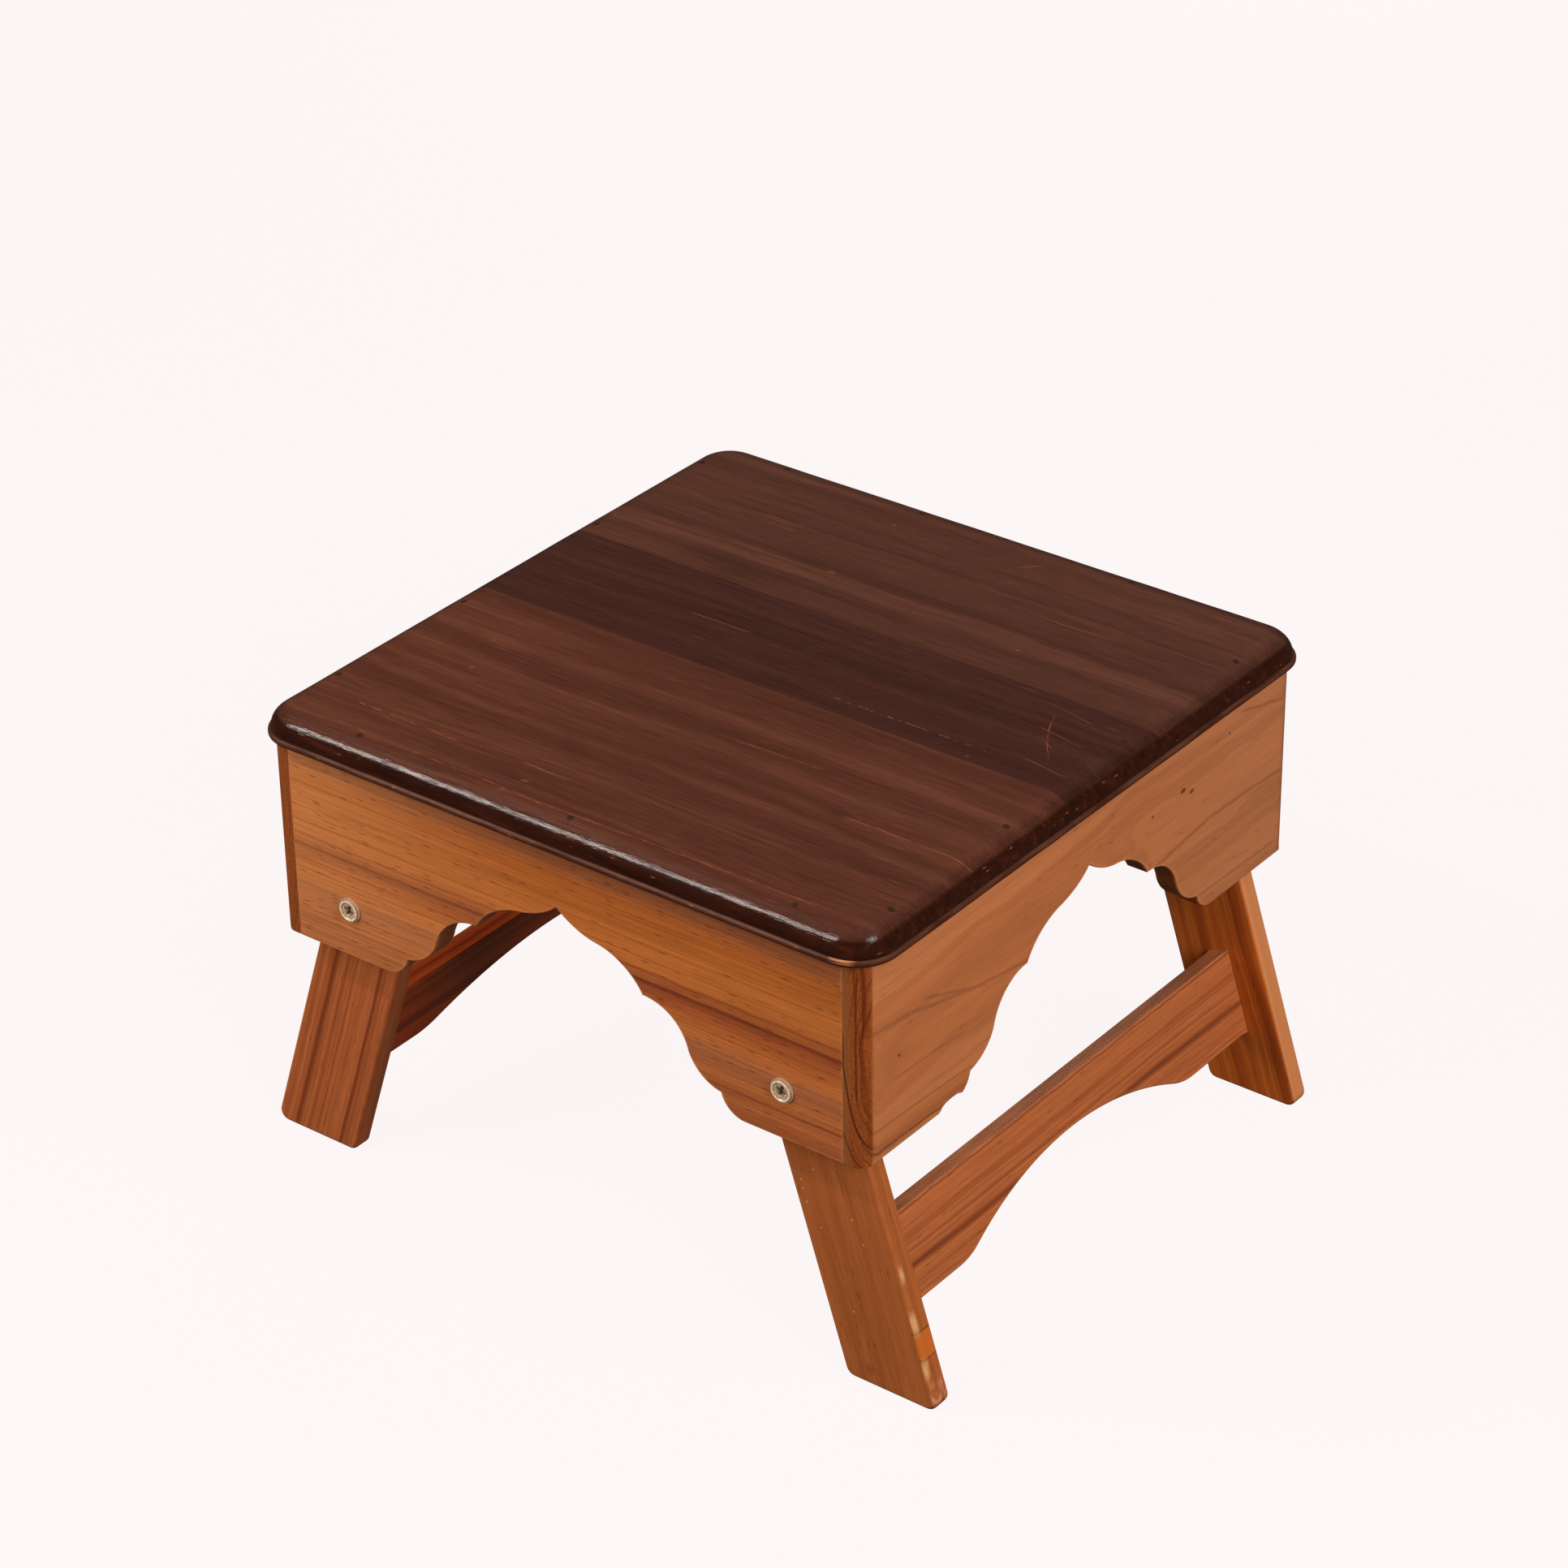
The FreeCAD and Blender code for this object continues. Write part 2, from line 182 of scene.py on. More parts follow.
def inward(points, closed):
    """Unit miter directions to the left of the path, and their lengths."""
    if closed:
        before = points - np.roll(points, 1, axis=0)
        after = np.roll(points, -1, axis=0) - points
    else:
        step = np.diff(points, axis=0)
        before = np.vstack([step[:1], step])
        after = np.vstack([step, step[-1:]])
    left_a = np.column_stack([-before[:, 1], before[:, 0]])
    left_b = np.column_stack([-after[:, 1], after[:, 0]])
    left_a /= np.linalg.norm(left_a, axis=1)[:, None]
    left_b /= np.linalg.norm(left_b, axis=1)[:, None]
    middle = left_a + left_b
    middle /= np.linalg.norm(middle, axis=1)[:, None]
    stretch = 1 / np.maximum((middle * left_a).sum(axis=1), 0.5)
    return middle * stretch[:, None]


def clearances(points, path):
    """Distance of each point from a polyline."""
    start = path[:-1]
    along = path[1:] - start
    length = np.maximum((along**2).sum(axis=1), 1e-12)
    offset = points[:, None] - start[None]
    share = np.clip((offset * along).sum(axis=2) / length, 0, 1)
    return np.linalg.norm(offset - share[..., None] * along, axis=2).min(axis=1)


def drawn_in(points, distance, closed=True):
    """The outline moved to its left; points that would cross gather on a corner."""
    moved = points + inward(points, closed) * distance[:, None]
    path = np.vstack([points, points[:1]]) if closed else points
    good = np.flatnonzero(clearances(moved, path) > 0.96 * distance - 1e-6)
    count = len(points)
    for i in set(range(count)) - set(good):
        gap = np.abs(good - i)
        if closed:
            gap = np.minimum(gap, count - gap)
        moved[i] = moved[good[gap.argmin()]]
    return moved


def scallop():
    """The apron's cut edge from its left foot over the crown to its right foot."""
    right = []
    start = SCALLOP_CROWN
    for via, end in SCALLOP_ARCS:
        right.append(arc_through(start, via, end))
        start = end
    half = np.vstack(right + [np.array([start])])
    left = half[1:][::-1] * MIRROR
    path = np.vstack([left, half])
    for point in path:
        point[1] += hand_cut(point[0], point[1], 3.7) * min(1.0, point[1] / 6)
    return path


def chipped(path):
    """The scallop with a splinter lost from the foot at its left end."""
    broken = [(-101.0, 0.0), (-99.7, 0.8), (-98.6, 1.9), (-96.5, 2.5), (-93.0, 2.9), (-89.0, 2.9)]
    return np.vstack([broken, path[path[:, 0] > -86.5]])


def hand_cut(a, b, seed):
    """The small unevenness of an edge cut and sanded by hand."""
    return 0.25 * noise.noise(Vector((a / 14, b / 14, seed)))


SCALLOP_PATH = scallop()
CHIPPED_PATH = chipped(SCALLOP_PATH)


def apron_ring(half, radii, path, angle, band):
    """One ring of an apron: its points and the arris radius at each.

    radii are those of the sides, the bottom, the top and the scallop. The
    angle runs from 0 on the board's edge to a quarter turn on its face.
    """
    turn = 1 - math.cos(angle)
    side, bottom, top, _ = [radius * turn + band for radius in radii]
    side_r, bottom_r, top_r, cut_r = radii
    ease = np.clip((SCALLOP_FOOT - np.abs(path[:, 0])) / 9, 0, 1)
    arch_r = bottom_r + (cut_r - bottom_r) * ease
    arch = drawn_in(path, arch_r * turn + band, closed=False)
    right = half - side
    high = APRON_TALL - top
    # The corner in the face's plane widens as the ring draws in.
    corner = 0.6 + 0.62 * min(side, bottom)
    x = right - corner
    y = bottom + corner
    right_foot = run((arch[-1][0], bottom), (x, bottom), 12)[1:]
    left_foot = run((-x, bottom), (arch[0][0], bottom), 12)[1:]
    round_corner = turned((x, y), corner, -QUARTER, 0, count=8)
    corner_r = np.linspace(bottom_r, side_r, len(round_corner))
    side_run = run((right, y), (right, high), 12)[1:]
    top_run = run((right, high), (-right, high), 30)
    sections = [
        (arch, arch_r), (right_foot, bottom_r), (round_corner, corner_r), (side_run, side_r),
        (top_run[:1], side_r), (top_run[1:], top_r), ([(-right, high)], side_r),
        ((side_run * MIRROR)[::-1], side_r), ((round_corner * MIRROR)[::-1], corner_r[::-1]),
        (left_foot, bottom_r)]
    points = np.vstack([part for part, radius in sections])
    return points, np.concatenate([np.broadcast_to(radius, len(part)) for part, radius in sections])


def plain_ring(outline, radius, angle, band):
    """One ring of a board, with one arris radius or one for each of its points."""
    radii = np.broadcast_to(radius, len(outline))
    return drawn_in(outline, radii * (1 - math.cos(angle)) + band), radii


def filleted(corner, before, after, radius):
    """Arc that rounds a corner of an outline, from its near to its far tangent."""
    corner, before, after = (np.array(p, float) for p in (corner, before, after))
    back = (before - corner) / np.linalg.norm(before - corner)
    on = (after - corner) / np.linalg.norm(after - corner)
    half_angle = math.acos(np.clip(back @ on, -1, 1)) / 2
    reach = radius / math.tan(half_angle)
    middle = (back + on) / np.linalg.norm(back + on)
    centre = corner + middle * radius / math.sin(half_angle)
    return short_arc(centre, radius, corner + back * reach, corner + on * reach, 0.8)


def leg_outline(flipped):
    """Leg seen square on: u down from the screw, v across, outwards."""
    outer = LEG_W / 2 - LEG_SHIFT
    inner = outer - LEG_W

    def foot(across):
        return ((PIVOT.z + across * math.sin(SPLAY)) / math.cos(SPLAY), across)

    inner_foot = filleted(foot(inner), (0, inner), foot(outer), FOOT_R)
    outer_foot = filleted(foot(outer), foot(inner), (0, outer), FOOT_R)
    outline = np.vstack([
        run((0, inner), inner_foot[0], 36),
        inner_foot[:-1],
        run(inner_foot[-1], outer_foot[0], 8),
        outer_foot[:-1],
        run(outer_foot[-1], (0, outer), 36),
        turned((0, -LEG_SHIFT), LEG_W / 2, QUARTER, 3 * QUARTER, 2.0)[:-1]])
    return outline[::-1] * (1, -1) if flipped else outline


def stretcher_outline(half):
    """Stretcher seen square on: u along it, v up the legs' slope."""
    span = (ARCH_HALF**2 + ARCH_RISE**2) / (2 * ARCH_RISE)
    arch_r = span - ARCH_END_R
    shoulder = np.array((ARCH_HALF, ARCH_END_R - STRETCHER_LOW))
    arch = np.array((0, ARCH_RISE - STRETCHER_LOW - arch_r))
    lean = math.atan2(*(arch - shoulder)[::-1])
    curve = np.vstack([
        turned(arch, arch_r, QUARTER, lean + math.pi, 3.0)[:-1],
        turned(shoulder, ARCH_END_R, lean, -QUARTER, 2.0)])
    left = curve[1:][::-1] * MIRROR
    return np.vstack([
        left, curve,
        run((ARCH_HALF, -STRETCHER_LOW), (half, -STRETCHER_LOW), 10)[1:],
        run((half, -STRETCHER_LOW), (half, -STRETCHER_HIGH), 8),
        run((half, -STRETCHER_HIGH), (-half, -STRETCHER_HIGH), 50),
        run((-half, -STRETCHER_HIGH), (-half, -STRETCHER_LOW), 8),
        run((-half, -STRETCHER_LOW), (-ARCH_HALF, -STRETCHER_LOW), 10)])


# ---- meshes --------------------------------------------------------------

def new_object(name, mesh, matrix, material):
    made = bpy.data.objects.new(name, mesh)
    bpy.context.scene.collection.objects.link(made)
    made.matrix_world = matrix
    mesh.materials.append(material)
    return made


def finish_mesh(bm, name, sharp=38.0):
    """A mesh with smooth faces, sharp where they meet at more than so many degrees."""
    bmesh.ops.remove_doubles(bm, verts=bm.verts, dist=2e-6)
    bmesh.ops.recalc_face_normals(bm, faces=bm.faces)
    mesh = bpy.data.meshes.new(name)
    bm.to_mesh(mesh)
    bm.free()
    mesh.shade_smooth()
    mesh.set_sharp_from_angle(angle=math.radians(sharp))
    return mesh


def weighted_normals(made):
    modifier = made.modifiers.new("normals", "WEIGHTED_NORMAL")
    modifier.keep_sharp = True
    modifier.weight = 80


def stitch(bm, low, high):
    """Faces between two rings of as many vertices; equal neighbours are skipped."""
    count = len(low)
    for i in range(count):
        j = (i + 1) % count
        corners = []
        for vertex in (low[i], low[j], high[j], high[i]):
            if vertex not in corners:
                corners.append(vertex)
        if len(corners) > 2:
            bm.faces.new(corners)


def loft(bm, rings):
    """Faces from ring to ring."""
    for low, high in zip(rings, rings[1:]):
        stitch(bm, low, high)


def lofted(bm, rings):
    """A closed solid from ring to ring, with flat ends."""
    loft(bm, rings)
    bm.faces.new(rings[0][::-1])
    bm.faces.new(rings[-1])


def ring_vertices(bm, layer, points, depth, edge):
    """Vertices of one ring; points that gather on a corner share a vertex."""
    made = []
    for i, (u, v) in enumerate(points):
        if made and np.allclose(points[i - 1], points[i], atol=1e-5):
            made.append(made[-1])
            continue
        vertex = bm.verts.new((u * MM, v * MM, depth[i] * MM))
        vertex[layer] = edge[i]
        made.append(vertex)
    return made


def cap(bm, loops):
    """Flat face inside the first loop of vertices and outside the others."""
    clean = [list(dict.fromkeys(loop)) for loop in loops]
    outlines = [[vertex.co.copy() for vertex in loop] for loop in clean]
    order = [vertex for loop in clean for vertex in loop]
    for corners in tessellate_polygon(outlines):
        if len(set(corners)) == 3:
            bm.faces.new([order[c] for c in corners])


def hole_loops(bm, layer, holes, levels):
    """Bored holes: a tube of faces each, and its vertices at the two faces."""
    ends = ([], [])
    for u, v in holes:
        circle = turned((u, v), HOLE_R, 0, FULL, 0.5)[:-1]
        zero = np.zeros(len(circle))
        low, high = [ring_vertices(bm, layer, circle, zero + level, zero) for level in levels]
        stitch(bm, high, low)
        ends[0].append(low)
        ends[1].append(high)
    return ends


def rolled_in(points, depth, corner):
    """Points kept inside a board's rounded upright ends, given (half, radius)."""
    half, radius = corner
    up = np.clip(radius + np.asarray(depth), 0, radius)
    limit = half - radius + np.sqrt(radius**2 - up**2)
    return np.column_stack([np.clip(points[:, 0], -limit, limit), points[:, 1]])


def slab(name, ring, thickness, back_ring=None, holes=(), corner=None):
    """A board with rounded edges, from ring(angle, band), which gives points and radii.

    The attribute "edge" is 0 on the faces and up to 1 on the rounded edges.
    """
    bm = bmesh.new()
    layer = bm.verts.layers.float.new("edge")
    angles = [i * QUARTER / ARRIS_STEPS for i in range(ARRIS_STEPS + 1)]
    back_ring = back_ring or ring
    rings = []

    def add(points, depth, edge):
        if corner:
            points = rolled_in(points, depth, corner)
        rings.append(ring_vertices(bm, layer, points, depth, edge))

    def arris(source, front):
        for angle in angles if front else angles[::-1]:
            points, radius = source(angle, 0.0)
            sunk = radius * (1 - math.sin(angle))
            depth = -sunk if front else sunk - thickness
            add(points, depth, np.clip(1.6 / np.maximum(radius, 0.1), 0.2, 1.0))

    def band(source, front):
        points = source(QUARTER, BAND)[0]
        level = 0.0 if front else -thickness
        add(points, np.full(len(points), level), np.zeros(len(points)))

    band(back_ring, False)
    arris(back_ring, False)
    points, front_r = ring(0.0, 0.0)
    back_r = back_ring(0.0, 0.0)[1]
    for share in (0.3, 0.7):
        depth = (back_r - thickness) * (1 - share) - front_r * share
        add(points, depth, np.zeros(len(points)))
    arris(ring, True)
    band(ring, True)
    loft(bm, rings)
    low_holes, high_holes = hole_loops(bm, layer, holes, (-thickness, 0.0))
    cap(bm, [rings[0]] + low_holes)
    cap(bm, [rings[-1]] + high_holes)
    return finish_mesh(bm, name)


def placed(origin, u, v, w):
    """World matrix of a board's frame, from its origin in mm and its axes."""
    matrix = Matrix((u, v, w)).transposed().to_4x4()
    matrix.translation = Vector(origin) * MM
    return matrix


def piece(mesh, matrix, material, body, node):
    """An object, named after its mesh, that rides a body in place of a CAD node."""
    made = new_object(mesh.name, mesh, matrix, material)
    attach(made, body)
    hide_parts(node)
    return made


def board(mesh, matrix, material, body, node):
    weighted_normals(piece(mesh, matrix, material, body, node))


# ---- shader building -----------------------------------------------------

def srgb(red, green, blue):
    """A colour given as 0 to 255, as linear RGBA."""
    def linear(value):
        value /= 255
        return value / 12.92 if value <= 0.04045 else ((value + 0.055) / 1.055)**2.4
    return (linear(red), linear(green), linear(blue), 1.0)


class Shader:
    """Builds one material's nodes. Values are sockets or plain numbers.

    u, v and w are the board's coordinates in mm, and face is a slightly
    wavering u and v. end_grain, edgeways and facing are the normal's parts
    along u, v and w.
    """

    def __init__(self, name):
        self.material = bpy.data.materials.new(name)
        self.material.use_nodes = True
        self.tree = self.material.node_tree
        self.tree.nodes.clear()
        self.surface = self.node("ShaderNodeBsdfPrincipled")
        output = self.node("ShaderNodeOutputMaterial")
        self.tree.links.new(self.surface.outputs["BSDF"], output.inputs["Surface"])
        coords = self.node("ShaderNodeTexCoord")
        self.place = self.vector("SCALE", coords.outputs["Object"], scale=1 / MM)
        self.u, self.v, self.w = self.parts(self.place)
        self.wander = self.swing(self.noise((7, 7, 7), seed=21.0), 1.4)
        self.face = self.joined(self.u, self.plus(self.v, self.wander), 0.0)
        normal = self.parts(coords.outputs["Normal"])
        self.end_grain = self.math("ABSOLUTE", normal[0])
        self.edgeways = normal[1]
        self.facing = normal[2]
        self.edge = self.node("ShaderNodeAttribute", attribute_name="edge").outputs["Fac"]

    def node(self, kind, **properties):
        made = self.tree.nodes.new(kind)
        for key, value in properties.items():
            setattr(made, key, value)
        return made

    def feed(self, socket, value):
        if isinstance(value, bpy.types.NodeSocket):
            self.tree.links.new(value, socket)
        elif value is not None:
            socket.default_value = value[:3] if socket.type == "VECTOR" else value

    def parts(self, vector):
        made = self.node("ShaderNodeSeparateXYZ")
        self.feed(made.inputs[0], vector)
        return made.outputs[0], made.outputs[1], made.outputs[2]

    def joined(self, x, y, z):
        made = self.node("ShaderNodeCombineXYZ")
        for socket, value in zip(made.inputs, (x, y, z)):
            self.feed(socket, value)
        return made.outputs[0]

    def vector(self, operation, a, b=None, scale=None):
        made = self.node("ShaderNodeVectorMath", operation=operation)
        self.feed(made.inputs[0], a)
        if b is not None:
            self.feed(made.inputs[1], b)
        if scale is not None:
            self.feed(made.inputs["Scale"], scale)
        return made.outputs["Value" if operation in ("DOT_PRODUCT", "LENGTH") else "Vector"]

    def math(self, operation, a, b=None, clamp=False):
        made = self.node("ShaderNodeMath", operation=operation, use_clamp=clamp)
        for socket, value in zip(made.inputs, (a, b)):
            self.feed(socket, value)
        return made.outputs[0]

    def fold(self, operation, values):
        total = values[0]
        for value in values[1:]:
            total = self.math(operation, total, value)
        return total

    def plus(self, *values):
        return self.fold("ADD", values)

    def times(self, *values):
        return self.fold("MULTIPLY", values)

    def most(self, *masks):
        return self.fold("MAXIMUM", masks)

    def swing(self, value, amount):
        """A value from 0 to 1, made to swing about 0."""
        return self.times(self.plus(value, -0.5), amount)

    def step(self, value, low, high, to_low=0.0, to_high=1.0):
        """Smooth step from low to high."""
        made = self.node("ShaderNodeMapRange", interpolation_type="SMOOTHSTEP")
        for socket, given in zip(made.inputs, (value, low, high, to_low, to_high)):
            self.feed(socket, given)
        return made.outputs[0]

    def fall(self, value, low, high):
        return self.step(value, low, high, 1.0, 0.0)

    def texture(self, dimensions, inputs):
        made = self.node("ShaderNodeTexNoise", noise_dimensions=dimensions)
        for key, value in inputs.items():
            self.feed(made.inputs[key], value)
        return made.outputs["Fac"]

    def noise(self, size, detail=2.0, roughness=0.5, seed=0.0):
        """Noise with the given grain size along u, v and w, from 0 to 1."""
        stretched = self.vector("DIVIDE", self.place, size)
        return self.texture("4D", {"Vector": stretched, "W": seed, "Scale": 1.0, "Detail": detail,
                                   "Roughness": roughness})

    def line_noise(self, value, detail=3.0, roughness=0.6, seed=0.0):
        """One-dimensional noise along a value, from 0 to 1."""
        return self.texture("1D", {"W": self.plus(value, seed), "Scale": 1.0, "Detail": detail,
                                   "Roughness": roughness})

    def hairlines(self, value, width, seed):
        """Mask of thin lines where slow noise along a value passes its middle."""
        level = self.plus(self.line_noise(value, detail=1.0, seed=seed), -0.5)
        return self.fall(self.math("ABSOLUTE", level), 0.0, width)

    def ramp(self, value, stops):
        """Colours along a value; a stop is its place and a colour given as 0 to 255."""
        made = self.node("ShaderNodeValToRGB")
        elements = made.color_ramp.elements
        while len(elements) < len(stops):
            elements.new(0.5)
        for element, (place, colour) in zip(elements, stops):
            element.position = place
            element.color = srgb(*colour)
        self.feed(made.inputs[0], value)
        return made.outputs[0]

    def blend(self, factor, a, b):
        made = self.node("ShaderNodeMix", data_type="RGBA")
        for socket, value in ((made.inputs[0], factor), (made.inputs[6], a), (made.inputs[7], b)):
            self.feed(socket, value)
        return made.outputs[2]

    def ink(self, colour, tint, mask, strength=1.0):
        """Colour with a tint, given as 0 to 255, laid over it where the mask is."""
        return self.blend(self.times(mask, strength), colour, srgb(*tint))

    def tone(self, colour, value):
        """Colour made lighter or darker by a factor."""
        return self.vector("SCALE", colour, scale=value)

    def stroke(self, start, end, width, bend=0.0, soft=0.5, fade=3.0, plane=None):
        """Mask of a thin line from start to end, in u and v or in another plane."""
        a, b = Vector(start), Vector(end)
        length = (b - a).length
        along = (b - a) / length
        offset = self.vector("SUBTRACT", plane or self.face, (a.x, a.y, 0))
        travel = self.vector("DOT_PRODUCT", offset, (along.x, along.y, 0))
        aside = self.vector("DOT_PRODUCT", offset, (-along.y, along.x, 0))
        share = self.math("DIVIDE", travel, length, clamp=True)
        sag = self.times(share, self.math("SUBTRACT", 1.0, share), 4 * bend)
        gap = self.math("ABSOLUTE", self.math("SUBTRACT", aside, sag))
        line = self.fall(gap, width * (1 - soft), width)
        begins = self.step(travel, -fade, fade)
        ends = self.fall(travel, length - fade, length + fade)
        return self.times(line, begins, ends)

    def dot(self, centre, radius, stretch=1.0, soft=0.5):
        """Mask of a round or stretched spot on the board's face."""
        offset = self.vector("SUBTRACT", self.face, (*centre, 0))
        offset = self.vector("MULTIPLY", offset, (1 / stretch, 1, 0))
        return self.fall(self.vector("LENGTH", offset), radius * (1 - soft), radius)

    def strokes(self, *rows, **common):
        """Masks of lines; a row is start, end, width and perhaps bend, soft and fade."""
        return [self.stroke(*row, **common) for row in rows]

    def dots(self, *rows):
        """Masks of spots; a row is centre, radius and perhaps stretch and soft."""
        return [self.dot(*row) for row in rows]

    def dashes(self, size, share, seed):
        """Mask of scattered short marks along u; share is how many cells hold one."""
        made = self.node("ShaderNodeTexVoronoi", voronoi_dimensions="3D")
        stretched = self.vector("DIVIDE", self.place, size)
        shift = (seed * 7.3, seed * 3.1, seed * 5.7)
        self.feed(made.inputs["Vector"], self.vector("ADD", stretched, shift))
        self.feed(made.inputs["Scale"], 1.0)
        near = self.fall(made.outputs["Distance"], 0.12, 0.34)
        pick = self.parts(made.outputs["Color"])[0]
        return self.times(near, self.step(pick, 1 - share, 1.02 - share))

    def finish(self, colour, roughness, height, bump=0.5, reach=0.0003, **constants):
        self.feed(self.surface.inputs["Base Color"], colour)
        self.feed(self.surface.inputs["Roughness"], roughness)
        bumped = self.node("ShaderNodeBump")
        bumped.inputs["Strength"].default_value = bump
        bumped.inputs["Distance"].default_value = reach
        self.feed(bumped.inputs["Height"], height)
        self.feed(self.surface.inputs["Normal"], bumped.outputs["Normal"])
        for key, value in constants.items():
            self.surface.inputs[key.replace("_", " ")].default_value = value
        return self.material


# ---- wood ----------------------------------------------------------------

def ring_distance(s, pith, wander, seed):
    """Distance from the tree's middle line, in mm, with the wood's slow wander."""
    slow = s.plus(s.noise((190, 70, 70), detail=1.0, seed=seed), -0.5)
    quick = s.plus(s.noise((45, 14, 14), seed=seed + 3), -0.5)
    across = s.plus(s.v, -pith[0])
    deep = s.plus(s.w, -pith[1])
    straight = s.math("SQRT", s.plus(s.times(across, across), s.times(deep, deep)))
    return s.plus(straight, s.times(slow, 2 * wander), s.times(quick, 0.5 * wander))


def wood_detail(s, colour, seed, fibre=0.8, streak=0.6, pores=0.5, mottle=0.3, pore_share=0.14):
    """Fibres, pores and slow patches over a base colour; also their height."""
    fine = s.noise((20, 0.7, 0.7), detail=3.0, roughness=0.7, seed=seed + 1)
    streaks = s.noise((75, 2.1, 2.1), detail=3.0, roughness=0.6, seed=seed + 6)
    wide = s.noise((90, 16, 16), seed=seed + 2)
    level = s.plus(1.0, s.swing(fine, fibre), s.swing(streaks, streak), s.swing(wide, mottle))
    pore = s.dashes((8.5, 1.15, 1.15), pore_share, seed + 4)
    colour = s.tone(colour, level)
    colour = s.blend(s.times(pore, pores), colour, srgb(84, 38, 16))
    height = s.plus(s.times(fine, 0.6), s.times(streaks, 0.3), s.times(pore, -0.6))
    return colour, height, fine


def worn(s, colour, tint, amount, seed):
    """Pale rubbed edges, broken up by noise."""
    patchy = s.noise((9, 4, 4), detail=3.0, roughness=0.7, seed=seed + 7)
    wear_and_painted_light = s.step(s.plus(s.edge, s.swing(patchy, 1.6)), 0.55, 1.15)
    return s.blend(s.times(wear_and_painted_light, amount), colour, tint), wear_and_painted_light


def end_grained(s, colour, rings, dark):
    """Wood cut across the grain: darker, with its growth rings showing."""
    line = s.line_noise(s.times(rings, 0.55), seed=3.0, detail=2.0)
    narrow = s.step(s.math("ABSOLUTE", s.plus(line, -0.5)), 0.0, 0.05, 0.6, 1.0)
    speckle = s.noise((1.2, 1.4, 1.0), seed=12.0)
    shaded = s.tone(dark, s.times(narrow, s.step(speckle, 0.2, 0.8, 0.75, 1.25)))
    return s.blend(s.step(s.end_grain, 0.24, 0.4), colour, shaded)


def front_apron_material(name, seed):
    """Oiled teak with straight horizontal figure and one strong dark line."""
    s = Shader(name)
    # Far from the tree's middle, the rings run nearly level: 0 to 92 up the board.
    rings = s.plus(ring_distance(s, (-260, -40), 1.6, seed), -262.6)
    drift = s.times(s.step(s.u, 60, 150), s.step(s.v, 60, 92), 3.0)
    ripple = s.swing(s.noise((11, 2.5, 2.5), seed=seed + 14), 1.8)
    share = s.times(s.plus(rings, drift, ripple), 1 / APRON_TALL)
    bands = [
        (0.0, (146, 78, 42)), (3, (142, 76, 41)), (7, (160, 90, 48)), (11, (152, 83, 45)),
        (12, (134, 70, 38)), (13, (156, 87, 46)), (16, (166, 94, 49)), (20, (152, 87, 50)),
        (24, (146, 84, 52)), (27, (154, 92, 56)), (30, (176, 100, 51)), (36, (166, 91, 43)),
        (42, (148, 76, 38)), (44.8, (130, 64, 34)), (46.2, (98, 42, 21)), (47.8, (150, 80, 42)),
        (50.2, (158, 86, 41)), (51, (130, 62, 30)), (52, (166, 94, 44)), (58, (172, 98, 45)),
        (66, (162, 91, 40)), (72, (157, 86, 36)), (78, (153, 83, 35)), (81.5, (146, 78, 38)),
        (82.5, (136, 78, 45)), (92, (126, 70, 42))]
    colour = s.ramp(share, [(height / APRON_TALL, tint) for height, tint in bands])
    fine_rings = s.line_noise(s.times(rings, 1.1), detail=4.0, roughness=0.7, seed=seed)
    colour = s.tone(colour, s.step(fine_rings, 0.25, 0.75, 0.82, 1.14))
    pale = s.times(s.fall(s.u, -150, 10), s.step(s.u, -150, -140, 0.6, 1.0))
    colour = s.ink(colour, (190, 124, 76), pale, 0.45)
    thin = s.hairlines(s.times(rings, 0.45), 0.03, seed + 5)
    colour = s.ink(colour, (104, 50, 26), thin, 0.4)
    colour, height, fine = wood_detail(s, colour, seed, pores=0.6, pore_share=0.34)
    long_marks = s.dashes((22, 1.3, 1.3), 0.12, seed + 16)
    colour = s.ink(colour, (110, 52, 24), s.times(long_marks, s.step(s.v, 48, 62)), 0.5)
    colour = end_grained(s, colour, rings, srgb(112, 54, 22))
    colour, wear_and_painted_light = worn(s, colour, srgb(176, 112, 70), 0.4, seed)
    roughness = s.plus(0.36, s.times(fine, 0.16), s.times(wear_and_painted_light, 0.1))
    return s.finish(colour, roughness, height, Coat_Weight=0.15, Coat_Roughness=0.25)


